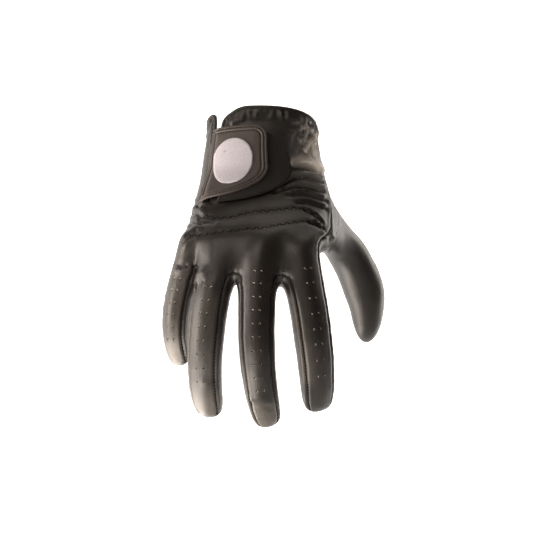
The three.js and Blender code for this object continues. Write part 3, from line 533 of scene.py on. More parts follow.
zigzagRows = {
    "upper": [(-33.6, -33.6), (-25.1, -35.8), (-17.5, -34.9), (-8.7, -32.5), (-2.3, -31.2), (5.4, -30.8),
              (12.5, -30.1), (19.7, -29.1), (28.7, -30.2), (33.4, -33.8), (36.9, -37.5)],
    "lower": [(-43.5, -45.6), (-33.9, -45.8), (-25.1, -44.2), (-17.6, -43.6), (-8.4, -42.1), (0.2, -41.8),
              (8.8, -40), (16.4, -38.7), (25.9, -37.2), (34.2, -40.1), (37.9, -41.8)],
}
strokes += [(-0.6, 1.3, row) for row in zigzagRows.values()]


def strokeDistance(line, at):
    best = np.full(len(at), np.inf)
    line = np.array(line)
    for a, b in zip(line[:-1], line[1:]):
        ab = b - a
        t = np.clip(((at - a) @ ab) / (ab @ ab), 0, 1)
        best = np.minimum(best, np.linalg.norm(at - (a + t[:, None] * ab), axis=1))
    return best


def hump(distance, width):
    return np.exp(-(distance / width) ** 2)


def between(value, low, high, soft):
    return ease((value - low) / soft) * ease((high - value) / soft)


# Unevenness of the leather: stretch in x, y and z, size in mm, octaves and seed
leatherNoise = dict(
    sway=((1.0, 1.0, 1.0), 9.0, 2, 83.7),
    tucks=((1.0, 1.0, 1.9), 5.0, 3, 47.1),
    broad=((1.0, 1.0, 1.0), 14.0, 2, 11.3),
    crumple=((1.5, 1.0, 0.8), 4.2, 3, 83.7),
    pull=((0.7, 1.0, 1.6), 4.0, 3, 47.1),
    pleats=((1.0, 1.0, 0.35), 2.6, 2, 47.1),
)


def uneven(kind):
    stretch, size, octaves, seed = leatherNoise[kind]
    spots = co * np.array(stretch)
    return np.array([noise.fractal(Vector((p + seed) / size), 1.0, 2.1, octaves) for p in spots])


# Heights, widths and distances of the relief in mm, angles in degrees
foldSoft = 12
seamRelief = dict(groove=0.8, grooveWidth=0.62, puff=0.3, puffAt=1.8, puffWidth=0.8,
                  tipShare=0.35, tipStart=5, tipOver=8)
tuckRelief = dict(broad=0.28, anywhere=0.05, atSeam=0.22, seamWidth=4.0)
wristRelief = dict(low=2, high=62, soft=14, centre=-14, width=13)
slitRelief = dict(height=0.9, x=-38, z=-32, width=8)
hemRelief = dict(start=1.6, startSoft=1.2, end=10.5, endSoft=3.0, rise=0.35, groove=0.7, grooveWidth=1.3,
                 above=8, aboveSoft=6, atRim=0.15, rimSoft=2.0)

facing = ease((-normals[:, 1] + 0.1) / 0.5)  # strokes are only on what faces the back
palmShare = handDistance / hand["palm"]
lift = np.zeros(len(co))
for at, reach, rise, low, high in foldRows:
    lift += rise * hump(palmShare - at, reach) * between(handAngle, low, high, foldSoft) * facing
sway = gatherSway * uneven("sway")
for at, reach, rise, low, high, pitch in gatherRows:
    ripple = np.cos((handAngle + sway) / pitch * 2 * math.pi)
    lift += rise * ripple * hump(palmShare - at, reach) * between(handAngle, low, high, foldSoft)
frontView = co[:, [0, 2]]
for rise, width, line in strokes:
    lift += rise * hump(strokeDistance(line, frontView), width) * facing
# Seams lie in a groove between two puffed edges, shallower round the fingertips
atTip = np.min([np.linalg.norm(co - f["line"](f["reach"]).centre, axis=1) for f in fingers], axis=0)
sewnDeep = mix(seamRelief["tipShare"], 1, ease((atTip - seamRelief["tipStart"]) / seamRelief["tipOver"]))
lift += sewnDeep * (seamRelief["puff"] * hump(seamDistance - seamRelief["puffAt"], seamRelief["puffWidth"])
                    - seamRelief["groove"] * hump(seamDistance, seamRelief["grooveWidth"]))
# Leather is never quite even, and it tucks where a seam pulls
tuckHeight = tuckRelief["anywhere"] + tuckRelief["atSeam"] * hump(seamDistance, tuckRelief["seamWidth"])
lift += tuckRelief["broad"] * uneven("broad") + uneven("tucks") * tuckHeight
# The elastic at the thumb side of the wrist crumples the leather finely
onWrist = between(handAngle, wristRelief["low"], wristRelief["high"], wristRelief["soft"])
lift += onWrist * hump(handDistance - wristRelief["centre"], wristRelief["width"]) * uneven("crumple")
# so does the end of the slit, where the flap pulls at it
fromSlitEnd = np.hypot(co[:, 0] - slitRelief["x"], co[:, 2] - slitRelief["z"])
lift += slitRelief["height"] * hump(fromSlitEnd, slitRelief["width"]) * facing * uneven("pull")
# and the leather is gathered in short pleats under the binding, down to a groove
atHem = ease((co[:, 2] - hemRelief["above"]) / hemRelief["aboveSoft"])
gathered = (ease((rimDistance - hemRelief["start"]) / hemRelief["startSoft"])
            * ease((hemRelief["end"] - rimDistance) / hemRelief["endSoft"]))
hemGroove = hemRelief["groove"] * hump(rimDistance - hemRelief["end"], hemRelief["grooveWidth"])
lift += (gathered * (uneven("pleats") + hemRelief["rise"]) - hemGroove) * atHem
lift *= mix(hemRelief["atRim"], 1, ease(rimDistance / hemRelief["rimSoft"]))
shape = co + normals * lift[:, None]
shapeNormals = normalsOf(shape)
shapeTree = BVHTree.FromPolygons([Vector(p) for p in shape], faces.tolist())
print("leather: relief from", round(float(lift.min()), 2), "to", round(float(lift.max()), 2), "mm")


# Materials

def linear(code):  # sRGB hex to linear colour
    channels = [int(code[i:i + 2], 16) / 255 for i in (1, 3, 5)]
    return tuple(c / 12.92 if c <= 0.04045 else ((c + 0.055) / 1.055) ** 2.4 for c in channels) + (1.0,)


def setInputs(tree, node, inputs):  # a socket is linked, and any other value is set
    for key, value in inputs.items():
        if isinstance(value, bpy.types.NodeSocket):
            tree.links.new(value, node.inputs[key])
        else:
            node.inputs[key].default_value = value


def addNode(tree, kind, settings=None, inputs=None):
    node = tree.nodes.new(kind)
    for key, value in (settings or {}).items():
        setattr(node, key, value)
    setInputs(tree, node, inputs or {})
    return node


def newMaterial(name):
    material = bpy.data.materials.new(name)
    material.use_nodes = True
    tree = material.node_tree
    tree.nodes.clear()
    shader = addNode(tree, "ShaderNodeBsdfPrincipled")
    addNode(tree, "ShaderNodeOutputMaterial", None, {"Surface": shader.outputs[0]})
    return material, tree, shader


perMetre = 1000  # over a pattern's size in mm, this is its scale

# the pale colour is for rubbed fingertips and for painted highlights; the seam colour is for dirt and painted
# shade along the seams
leatherLook = dict(dark="#110e0c", light="#211c19", worn="#6e6963", seam="#060505", roughness=0.36,
                   grain=0.9, pore=0.45, cloud=22, relief=0.07)


# Glove leather: thin chrome-tanned sheepskin, dyed black and lightly finished. Soft broad shine,
# fine cell grain, a pale colour on the fingertips that is partly rubbed skin and partly painted highlight,
# painted highlight along puffed edges and finger flanks, and a dark colour along the seams that is dirt and
# painted shade
def sheepskin():
    look = leatherLook
    material, tree, shader = newMaterial("black_sheepskin")
    place = addNode(tree, "ShaderNodeTexCoord").outputs["Object"]
    # real grain cells are about 0.4 mm; drawn at 0.9 mm so that they show
    cells = addNode(tree, "ShaderNodeTexVoronoi", {"feature": "F1"},
                    {"Vector": place, "Scale": perMetre / look["grain"], "Randomness": 0.9})
    pores = addNode(tree, "ShaderNodeTexNoise", None,
                    {"Vector": place, "Scale": perMetre / look["pore"], "Detail": 3.0, "Roughness": 0.6})
    cloud = addNode(tree, "ShaderNodeTexNoise", None,
                    {"Vector": place, "Scale": perMetre / look["cloud"], "Detail": 4.0, "Roughness": 0.55})
    # Pale patches: rubbed leather and painted highlight, mixed in by an attribute
    rubbedAndHighlit = addNode(tree, "ShaderNodeAttribute", {"attribute_name": "rubbedAndHighlit"})
    tone = addNode(tree, "ShaderNodeMapRange", None,
                   {"Value": cloud.outputs[0], "From Min": 0.3, "From Max": 0.7})
    dyed = addNode(tree, "ShaderNodeMix", {"data_type": "RGBA"},
                   {0: tone.outputs[0], 6: linear(look["dark"]), 7: linear(look["light"])})
    rubbedAndHighlitShare = addNode(tree, "ShaderNodeMath", {"operation": "MULTIPLY"},
                      {0: rubbedAndHighlit.outputs["Fac"], 1: pores.outputs[0]})
    rubbedAndHighlitColour = addNode(tree, "ShaderNodeMix", {"data_type": "RGBA"},
                    {0: rubbedAndHighlitShare.outputs[0], 6: dyed.outputs[2], 7: linear(look["worn"])})
    # Dark colour along the seams: dirt and painted shade in the seam groove
    sewn = addNode(tree, "ShaderNodeAttribute", {"attribute_name": "seamDirtAndShade"})
    colour = addNode(tree, "ShaderNodeMix", {"data_type": "RGBA"},
                     {0: sewn.outputs["Fac"], 6: rubbedAndHighlitColour.outputs[2], 7: linear(look["seam"])})
    gloss = addNode(tree, "ShaderNodeMapRange", None,
                    {"Value": cells.outputs[0], "From Min": 0.0, "From Max": 0.7,
                     "To Min": look["roughness"] - 0.05, "To Max": look["roughness"] + 0.09})
    grain = addNode(tree, "ShaderNodeMath", {"operation": "MULTIPLY_ADD"},
                    {0: cells.outputs[0], 1: -0.8, 2: pores.outputs[0]})
    bump = addNode(tree, "ShaderNodeBump", None,
                   {"Height": grain.outputs[0], "Strength": 0.55, "Distance": look["relief"] * mm})
    setInputs(tree, shader, {"Base Color": colour.outputs[2], "Roughness": gloss.outputs[0],
                             "Normal": bump.outputs[0], "IOR": 1.5, "Specular IOR Level": 0.62,
                             "Sheen Weight": 0.02, "Sheen Roughness": 0.5})
    return material


tabLook = dict(dark="#3b3431", light="#4b4340", grain=0.5, cloud=9, roughness=0.5, relief=0.04)


# Closure tab: coated microfibre, pressed and welded. Even and a little satin, finely pebbled
def coatedMicrofibre():
    look = tabLook
    material, tree, shader = newMaterial("coated_microfibre")
    place = addNode(tree, "ShaderNodeTexCoord").outputs["Object"]
    pebble = addNode(tree, "ShaderNodeTexVoronoi", {"feature": "SMOOTH_F1"},
                     {"Vector": place, "Scale": perMetre / look["grain"]})
    cloud = addNode(tree, "ShaderNodeTexNoise", None,
                    {"Vector": place, "Scale": perMetre / look["cloud"], "Detail": 5.0})
    colour = addNode(tree, "ShaderNodeMix", {"data_type": "RGBA"},
                     {0: cloud.outputs[0], 6: linear(look["dark"]), 7: linear(look["light"])})
    gloss = addNode(tree, "ShaderNodeMapRange", None,
                    {"Value": cloud.outputs[0], "To Min": look["roughness"] - 0.06,
                     "To Max": look["roughness"] + 0.08})
    bump = addNode(tree, "ShaderNodeBump", None,
                   {"Height": pebble.outputs[0], "Strength": 0.35, "Distance": look["relief"] * mm})
    setInputs(tree, shader, {"Base Color": colour.outputs[2], "Roughness": gloss.outputs[0],
                             "Normal": bump.outputs[0]})
    return material


bindingLook = dict(dark="#14110f", light="#2a2623", grain=0.8, relief=0.05, glossy=0.36, dull=0.52)


# Binding: a narrow strip of the same leather, folded over the edge, evenly grained and a little duller
def bindingLeather():
    look = bindingLook
    material, tree, shader = newMaterial("binding_leather")
    place = addNode(tree, "ShaderNodeTexCoord").outputs["Object"]
    cells = addNode(tree, "ShaderNodeTexNoise", None,
                    {"Vector": place, "Scale": perMetre / look["grain"], "Detail": 3.0})
    colour = addNode(tree, "ShaderNodeMix", {"data_type": "RGBA"},
                     {0: cells.outputs[0], 6: linear(look["dark"]), 7: linear(look["light"])})
    gloss = addNode(tree, "ShaderNodeMapRange", None,
                    {"Value": cells.outputs[0], "To Min": look["glossy"], "To Max": look["dull"]})
    bump = addNode(tree, "ShaderNodeBump", None,
                   {"Height": cells.outputs[0], "Strength": 0.4, "Distance": look["relief"] * mm})
    setInputs(tree, shader, {"Base Color": colour.outputs[2], "Roughness": gloss.outputs[0],
                             "Normal": bump.outputs[0]})
    return material


loopLook = dict(dark="#0b0908", light="#231e1b", pile=0.6, relief=0.25)


# Loop fabric: brushed nylon knit. Matt and near black, with a soft pile at its edges
def loopFabric():
    look = loopLook
    material, tree, shader = newMaterial("nylon_loop_pile")
    place = addNode(tree, "ShaderNodeTexCoord").outputs["Object"]
    fuzz = addNode(tree, "ShaderNodeTexNoise", None,
                   {"Vector": place, "Scale": perMetre / look["pile"], "Detail": 4.0, "Roughness": 0.7})
    colour = addNode(tree, "ShaderNodeMix", {"data_type": "RGBA"},
                     {0: fuzz.outputs[0], 6: linear(look["dark"]), 7: linear(look["light"])})
    bump = addNode(tree, "ShaderNodeBump", None,
                   {"Height": fuzz.outputs[0], "Strength": 0.9, "Distance": look["relief"] * mm})
    setInputs(tree, shader, {"Base Color": colour.outputs[2], "Normal": bump.outputs[0], "Roughness": 0.92,
                             "Sheen Weight": 0.12, "Specular IOR Level": 0.25})
    return material


badgeLook = dict(dark="#9f99a1", light="#d3cfd7", thread=0.55, relief=0.08)


# Badge: woven polyester label, plain weave of pale grey yarn. Real yarns are 0.2 mm; drawn at 0.55 mm
# so that they show
def wovenLabel():
    look = badgeLook
    material, tree, shader = newMaterial("woven_polyester")
    place = addNode(tree, "ShaderNodeUVMap", {"uv_map": "weave"}).outputs[0]
    waves = []
    for turn in (0.0, math.pi / 2):
        turned = addNode(tree, "ShaderNodeMapping", None, {"Vector": place, "Rotation": (0, 0, turn)})
        waves.append(addNode(tree, "ShaderNodeTexWave", {"wave_type": "BANDS", "bands_direction": "X"},
                             {"Vector": turned.outputs[0], "Scale": 1 / look["thread"] / 2,
                              "Distortion": 1.2, "Detail": 2.0, "Detail Scale": 1.5}))
    weave = addNode(tree, "ShaderNodeMath", {"operation": "MULTIPLY"},
                    {0: waves[0].outputs["Fac"], 1: waves[1].outputs["Fac"]})
    speck = addNode(tree, "ShaderNodeTexNoise", None,
                    {"Vector": place, "Scale": 1.1, "Detail": 5.0, "Roughness": 0.7})
    both = addNode(tree, "ShaderNodeMath", {"operation": "MULTIPLY_ADD"},
                   {0: weave.outputs[0], 1: 0.5, 2: speck.outputs[0]})
    shade = addNode(tree, "ShaderNodeMapRange", None,
                    {"Value": both.outputs[0], "From Min": 0.35, "From Max": 0.85})
    colour = addNode(tree, "ShaderNodeMix", {"data_type": "RGBA"},
                     {0: shade.outputs[0], 6: linear(look["dark"]), 7: linear(look["light"])})
    bump = addNode(tree, "ShaderNodeBump", None,
                   {"Height": weave.outputs[0], "Strength": 0.5, "Distance": look["relief"] * mm})
    setInputs(tree, shader, {"Base Color": colour.outputs[2], "Normal": bump.outputs[0], "Roughness": 0.8,
                             "Sheen Weight": 0.15})
    return material


threadLook = dict(dark="#070504", light="#120e0c", twist=0.5)


# Sewing thread: bonded polyester, black with a slight sheen from its twist
def sewingThread():
    look = threadLook
    material, tree, shader = newMaterial("bonded_thread")
    place = addNode(tree, "ShaderNodeTexCoord").outputs["Object"]
    twist = addNode(tree, "ShaderNodeTexNoise", None,
                    {"Vector": place, "Scale": perMetre / look["twist"], "Detail": 2.0})
    colour = addNode(tree, "ShaderNodeMix", {"data_type": "RGBA"},
                     {0: twist.outputs[0], 6: linear(look["dark"]), 7: linear(look["light"])})
    setInputs(tree, shader, {"Base Color": colour.outputs[2], "Roughness": 0.75, "Specular IOR Level": 0.25})
    return material


holeEdgeLook = dict(dark="#8d857c", light="#d6cec6", fibre=0.3)


# Punched edge of the leather: a pale colour, partly the paler cut core of the hide and partly painted
# highlight on the rims of the holes
def paleHoleEdge():
    look = holeEdgeLook
    material, tree, shader = newMaterial("pale_hole_edge")
    place = addNode(tree, "ShaderNodeTexCoord").outputs["Object"]
    fibre = addNode(tree, "ShaderNodeTexNoise", None,
                    {"Vector": place, "Scale": perMetre / look["fibre"], "Detail": 3.0})
    colour = addNode(tree, "ShaderNodeMix", {"data_type": "RGBA"},
                     {0: fibre.outputs[0], 6: linear(look["dark"]), 7: linear(look["light"])})
    setInputs(tree, shader, {"Base Color": colour.outputs[2], "Roughness": 0.85})
    return material


leatherMaterial = sheepskin()
paleHoleRim = paleHoleEdge()
microfibre = coatedMicrofibre()
bindingMaterial = bindingLeather()
loopMaterial = loopFabric()
labelMaterial = wovenLabel()
threadMaterial = sewingThread()
print("materials: made")


# Geometry Nodes trees

def newTree(name, inputs):
    tree = bpy.data.node_groups.new(name, "GeometryNodeTree")
    tree.interface.new_socket("Geometry", in_out="INPUT", socket_type="NodeSocketGeometry")
    sockets = {}
    for label, kind, value in inputs:
        socket = tree.interface.new_socket(label, in_out="INPUT", socket_type=kind)
        if value is not None:
            socket.default_value = value
        sockets[label] = socket.identifier
    tree.interface.new_socket("Geometry", in_out="OUTPUT", socket_type="NodeSocketGeometry")
    return tree, sockets, addNode(tree, "NodeGroupInput").outputs


def runTree(obj, tree, sockets, values):
    modifier = obj.modifiers.new(tree.name, "NODES")
    modifier.node_group = tree
    for label, value in values.items():
        modifier[sockets[label]] = value
    obj.update_tag()
    bpy.context.view_layer.update()


def endTree(tree, geometry, material):
    real = addNode(tree, "GeometryNodeRealizeInstances", None, {"Geometry": geometry})
    painted = addNode(tree, "GeometryNodeSetMaterial", None,
                      {"Geometry": real.outputs[0], "Material": material})
    addNode(tree, "NodeGroupOutput", None, {"Geometry": painted.outputs[0]})


# Short stitches along a line of points that carry the leather's outward direction
def stitchTree():
    tree, sockets, given = newTree("stitch_row", [
        ("Pitch", "NodeSocketFloat", 2.0 * mm), ("Length", "NodeSocketFloat", 1.6 * mm),
        ("Thread", "NodeSocketFloat", 0.4 * mm), ("Turn", "NodeSocketFloat", 0.0),
        ("Lift", "NodeSocketFloat", 0.0), ("Seed", "NodeSocketInt", 3),
        ("Material", "NodeSocketMaterial", None)])
    curve = addNode(tree, "GeometryNodeMeshToCurve", None, {"Mesh": given["Geometry"]})
    spaced = addNode(tree, "GeometryNodeResampleCurve", {"mode": "LENGTH"},
                     {"Curve": curve.outputs[0], "Length": given["Pitch"]})
    outward = addNode(tree, "GeometryNodeInputNamedAttribute", {"data_type": "FLOAT_VECTOR"},
                      {"Name": "outward"})
    offset = addNode(tree, "ShaderNodeVectorMath", {"operation": "SCALE"},
                     {0: outward.outputs[0], "Scale": given["Lift"]})
    raised = addNode(tree, "GeometryNodeSetPosition", None,
                     {"Geometry": spaced.outputs[0], "Offset": offset.outputs[0]})
    tangent = addNode(tree, "GeometryNodeInputTangent")
    up = addNode(tree, "FunctionNodeAlignRotationToVector", {"axis": "Z"}, {"Vector": outward.outputs[0]})
    ahead = addNode(tree, "FunctionNodeAlignRotationToVector", {"axis": "X", "pivot_axis": "Z"},
                    {"Rotation": up.outputs[0], "Vector": tangent.outputs[0]})
    jitter = addNode(tree, "FunctionNodeRandomValue", {"data_type": "FLOAT"},
                     {2: -0.12, 3: 0.12, "Seed": given["Seed"]})
    turn = addNode(tree, "ShaderNodeMath", {"operation": "ADD"}, {0: jitter.outputs[1], 1: given["Turn"]})
    spin = addNode(tree, "FunctionNodeAxisAngleToRotation", None,
                   {"Axis": (0, 0, 1), "Angle": turn.outputs[0]})
    turned = addNode(tree, "FunctionNodeRotateRotation", {"rotation_space": "LOCAL"},
                     {"Rotation": ahead.outputs[0], "Rotate By": spin.outputs[0]})
    bead = addNode(tree, "GeometryNodeMeshUVSphere", None, {"Segments": 6, "Rings": 5, "Radius": 0.5})
    scale = addNode(tree, "ShaderNodeCombineXYZ", None,
                    {"X": given["Length"], "Y": given["Thread"], "Z": given["Thread"]})
    thread = addNode(tree, "GeometryNodeTransform", None,
                     {"Geometry": bead.outputs[0], "Scale": scale.outputs[0]})
    placed = addNode(tree, "GeometryNodeInstanceOnPoints", None,
                     {"Points": raised.outputs[0], "Instance": thread.outputs[0],
                      "Rotation": turned.outputs[0]})
    endTree(tree, placed.outputs[0], given["Material"])
    return tree, sockets


# One thread that swings from side to side and dips into the leather where it turns
def zigzagTree():
    tree, sockets, given = newTree("zigzag_row", [
        ("Pitch", "NodeSocketFloat", 4.6 * mm), ("Swing", "NodeSocketFloat", 1.0 * mm),
        ("Thread", "NodeSocketFloat", 0.5 * mm), ("Lift", "NodeSocketFloat", 0.1 * mm),
        ("Material", "NodeSocketMaterial", None)])
    curve = addNode(tree, "GeometryNodeMeshToCurve", None, {"Mesh": given["Geometry"]})
    step = addNode(tree, "ShaderNodeMath", {"operation": "DIVIDE"}, {0: given["Pitch"], 1: 8.0})
    spaced = addNode(tree, "GeometryNodeResampleCurve", {"mode": "LENGTH"},
                     {"Curve": curve.outputs[0], "Length": step.outputs[0]})
    along = addNode(tree, "GeometryNodeSplineParameter")
    half = addNode(tree, "ShaderNodeMath", {"operation": "MULTIPLY"}, {0: given["Pitch"], 1: 0.5})
    fold = addNode(tree, "ShaderNodeMath", {"operation": "PINGPONG"},
                   {0: along.outputs["Length"], 1: half.outputs[0]})
    share = addNode(tree, "ShaderNodeMath", {"operation": "DIVIDE"}, {0: fold.outputs[0], 1: half.outputs[0]})
    centred = addNode(tree, "ShaderNodeMath", {"operation": "MULTIPLY_ADD"},
                      {0: share.outputs[0], 1: 2.0, 2: -1.0})
    swing = addNode(tree, "ShaderNodeMath", {"operation": "MULTIPLY"},
                    {0: centred.outputs[0], 1: given["Swing"]})
    outward = addNode(tree, "GeometryNodeInputNamedAttribute", {"data_type": "FLOAT_VECTOR"},
                      {"Name": "outward"})
    tangent = addNode(tree, "GeometryNodeInputTangent")
    sideways = addNode(tree, "ShaderNodeVectorMath", {"operation": "CROSS_PRODUCT"},
                       {0: tangent.outputs[0], 1: outward.outputs[0]})
    across = addNode(tree, "ShaderNodeVectorMath", {"operation": "SCALE"},
                     {0: sideways.outputs[0], "Scale": swing.outputs[0]})
    edge = addNode(tree, "ShaderNodeMath", {"operation": "MULTIPLY"},
                   {0: centred.outputs[0], 1: centred.outputs[0]})
    dip = addNode(tree, "ShaderNodeMath", {"operation": "MULTIPLY_ADD"},
                  {0: edge.outputs[0], 1: -0.35 * mm, 2: given["Lift"]})
    rise = addNode(tree, "ShaderNodeVectorMath", {"operation": "SCALE"},
                   {0: outward.outputs[0], "Scale": dip.outputs[0]})
    offset = addNode(tree, "ShaderNodeVectorMath", {"operation": "ADD"},
                     {0: across.outputs[0], 1: rise.outputs[0]})
    moved = addNode(tree, "GeometryNodeSetPosition", None,
                    {"Geometry": spaced.outputs[0], "Offset": offset.outputs[0]})
    radius = addNode(tree, "ShaderNodeMath", {"operation": "MULTIPLY"}, {0: given["Thread"], 1: 0.5})
    section = addNode(tree, "GeometryNodeCurvePrimitiveCircle", None,
                      {"Resolution": 7, "Radius": radius.outputs[0]})
    tube = addNode(tree, "GeometryNodeCurveToMesh", None,
                   {"Curve": moved.outputs[0], "Profile Curve": section.outputs[0], "Fill Caps": True})
    endTree(tree, tube.outputs[0], given["Material"])
    return tree, sockets


# Sizes in mm; the punch flares by a share of a hole's width
holeSizes = dict(width=1.3, pair=4.0, depth=5, flare=0.35, lookFrom=3, lookTo=25)


# Punched air holes: a small round cutter on each point, cut out of the leather
def punchTree():
    tree, sockets, given = newTree("air_holes", [
        ("Centres", "NodeSocketObject", None), ("Width", "NodeSocketFloat", 1.3 * mm),
        ("Depth", "NodeSocketFloat", 12 * mm), ("Material", "NodeSocketMaterial", None)])
    centres = addNode(tree, "GeometryNodeObjectInfo", {"transform_space": "ORIGINAL"},
                      {"Object": given["Centres"]})
    outward = addNode(tree, "GeometryNodeInputNamedAttribute", {"data_type": "FLOAT_VECTOR"},
                      {"Name": "outward"})
    up = addNode(tree, "FunctionNodeAlignRotationToVector", {"axis": "Z"}, {"Vector": outward.outputs[0]})
    narrow = addNode(tree, "ShaderNodeMath", {"operation": "MULTIPLY"},
                     {0: given["Width"], 1: 0.5 - holeSizes["flare"]})
    wide = addNode(tree, "ShaderNodeMath", {"operation": "MULTIPLY"},
                   {0: given["Width"], 1: 0.5 + holeSizes["flare"]})
    drill = addNode(tree, "GeometryNodeMeshCone", None,
                    {"Vertices": 12, "Radius Top": wide.outputs[0], "Radius Bottom": narrow.outputs[0],
                     "Depth": given["Depth"]})
    lowered = addNode(tree, "ShaderNodeMath", {"operation": "MULTIPLY"}, {0: given["Depth"], 1: -0.5})
    shift = addNode(tree, "ShaderNodeCombineXYZ", None, {"Z": lowered.outputs[0]})
    centred = addNode(tree, "GeometryNodeTransform", None,
                      {"Geometry": drill.outputs[0], "Translation": shift.outputs[0]})
    placed = addNode(tree, "GeometryNodeInstanceOnPoints", None,
                     {"Points": centres.outputs["Geometry"], "Instance": centred.outputs[0],
                      "Rotation": up.outputs[0]})
    real = addNode(tree, "GeometryNodeRealizeInstances", None, {"Geometry": placed.outputs[0]})
    edge = addNode(tree, "GeometryNodeSetMaterial", None,
                   {"Geometry": real.outputs[0], "Material": given["Material"]})
    cut = addNode(tree, "GeometryNodeMeshBoolean", {"operation": "DIFFERENCE", "solver": "MANIFOLD"},
                  {"Mesh 1": given["Geometry"], "Mesh 2": edge.outputs[0]})
    addNode(tree, "NodeGroupOutput", None, {"Geometry": cut.outputs[0]})
    return tree, sockets


stitches, stitchSockets = stitchTree()
zigzag, zigzagSockets = zigzagTree()
punches, punchSockets = punchTree()


def lineObject(name, chains):  # chains of (point, outward) in mm, as edges that carry the outward direction
    verts, edges, outward = [], [], []
    for chain in chains:
        first = len(verts)
        for p, n in chain:
            verts.append(tuple(np.array(p) * mm))
            outward.append(tuple(n))
        edges += [(first + i, first + i + 1) for i in range(len(chain) - 1)]
    mesh = bpy.data.meshes.new(name)
    mesh.from_pydata(verts, edges, [])
    attribute = mesh.attributes.new("outward", "FLOAT_VECTOR", "POINT")
    attribute.data.foreach_set("vector", np.array(outward, dtype=np.float32).ravel())
    return linkNew(name, mesh)


def finish(mesh, name, replaced=None, sharp=40):
    mesh.polygons.foreach_set("use_smooth", [True] * len(mesh.polygons))
    if sharp:
        mesh.set_sharp_from_angle(angle=sharp * degree)
    obj = linkNew(name, mesh)
    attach(obj, "root")
    if replaced:
        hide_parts(replaced)
    return obj


# Leather panels: outer face, inner face and the edges between them

# Pale colour on the backs of the fingers, partly rubbing and partly painted highlight, and painted highlight
# on the ridges of the creased wrist: how much, half-width, line
highlitAndRubbedLines = [
    # finger backs: the little and ring lines are partly rubbing and partly painted highlight, the index line
    # is a painted highlight on its lit flank
    (0.35, 7.0, [(-45.5, -70), (-48, -88), (-48.5, -104)]),
    (0.3, 6.0, [(-26.5, -84), (-28.5, -105), (-28, -124)]),
    (0.9, 2.6, [(17.5, -82), (21.5, -100), (25.5, -128)]),
    # the bulge and the crumples at the wrist: painted highlights on their ridges
    (1.4, 3.2, [(18.4, 0.6), (22.9, 1.2), (27.7, 0.8), (32.6, -0.6), (35.4, -2.6)]),
    (0.4, 0.8, [(17, -8), (19.5, -6.8), (25, -6.2), (30.4, -6.5), (36.4, -8.6)]),
    (0.4, 0.7, [(15.4, -14.2), (20.5, -12.6), (26.5, -12.2), (37.4, -14.6)]),
    (1.3, 1.1, [(24, 22), (27, 23.4), (31.5, 21.4)]),
    (1.5, 0.9, [(31.4, 15.6), (29, 12), (26.4, 8.2)]),
    (1.2, 0.7, [(27, 16.8), (24, 13.6)]),
    (1.5, 0.9, [(35, 20.4), (33.8, 16.6), (32.8, 13)]),
    (1.2, 0.8, [(31.6, 11.8), (32.2, 8), (32.6, 4.4)]),
]


# sizes of the pale fingertips (rubbing and painted highlight) and of the dark seam lines (dirt and painted
# shade), in mm
wearAndPaintedLight = dict(tipShare=0.95, tipReach=22, tipSoft=12, seamWidth=0.6)


def rubbedAndHighlitAt(p):  # how pale each point is coloured, for rubbing and painted highlight: near the fingertips and along those lines
    amount = np.zeros(len(p))
    for f in fingers:
        fromTip = np.linalg.norm(p - f["line"](f["reach"] * wearAndPaintedLight["tipShare"]).centre, axis=1)
        amount = np.maximum(amount, f["wearAndPaintedLight"] * ease((wearAndPaintedLight["tipReach"] - fromTip) / wearAndPaintedLight["tipSoft"]))
    for much, width, line in highlitAndRubbedLines:
        amount = np.maximum(amount, much * hump(strokeDistance(line, p[:, [0, 2]]), width) * facing)
    return amount


# pale colour for rubbing and painted highlight
rubbedAndHighlit = rubbedAndHighlitAt(shape)
# dark colour along the seams: dirt and painted shade in the groove
seamDirtAndShade = hump(seamDistance, wearAndPaintedLight["seamWidth"])


def panelMesh(index):
    chosen = faces[facePanels == index]
    used = np.unique(chosen)
    order = {int(v): i for i, v in enumerate(used)}
    local = np.array([[order[int(v)] for v in face] for face in chosen])
    count = {}
    for face in local:
        for k in range(4):
            a, b = int(face[k]), int(face[(k + 1) % 4])
            count.setdefault((min(a, b), max(a, b)), []).append((a, b))
    rim = [pairs[0] for pairs in count.values() if len(pairs) == 1]
    onRim = {v for edge in rim for v in edge}
    outer = shape[used].copy()
    neighbours = {v: [] for v in onRim}
    for a, b in count:
        if a in onRim and b not in onRim:
            neighbours[a].append(b)
        if b in onRim and a not in onRim:
            neighbours[b].append(a)
    for v, inside in neighbours.items():
        if inside:
            outer[v] += (shape[used][inside].mean(axis=0) - outer[v]) * detail["seamPull"]
    inner = outer - shapeNormals[used] * hand["leather"]
    n = len(used)
    allFaces = local.tolist() + (local[:, ::-1] + n).tolist() + [[b, a, a + n, b + n] for a, b in rim]
    mesh = bpy.data.meshes.new(panelNames[index])
    mesh.from_pydata((np.vstack([outer, inner]) * mm).tolist(), [], allFaces)
    for label, values in (("rubbedAndHighlit", [rubbedAndHighlit[used], np.zeros(n)]), ("seamDirtAndShade", [seamDirtAndShade[used], seamDirtAndShade[used]])):
        layer = mesh.attributes.new(label, "FLOAT", "POINT")
        layer.data.foreach_set("value", np.concatenate(values).astype(np.float32))
    mesh.materials.append(leatherMaterial)
    return mesh


def holeCentres(line, length, first, last, pairs, turn):
    spots = []
    for i in range(pairs):
        f = line(length * mix(first, last, i / (pairs - 1)))
        out = f.side * math.cos(turn * degree) + f.back * math.sin(turn * degree)
        across = -f.side * math.sin(turn * degree) + f.back * math.cos(turn * degree)
        for half in (-0.5, 0.5):
            start = f.centre + across * half * holeSizes["pair"]
            found = shapeTree.ray_cast(Vector(start + out * holeSizes["lookFrom"]), Vector(out),
                                       holeSizes["lookTo"])
            if found[0]:
                spots.append((np.array(found[0]), out))
    return spots


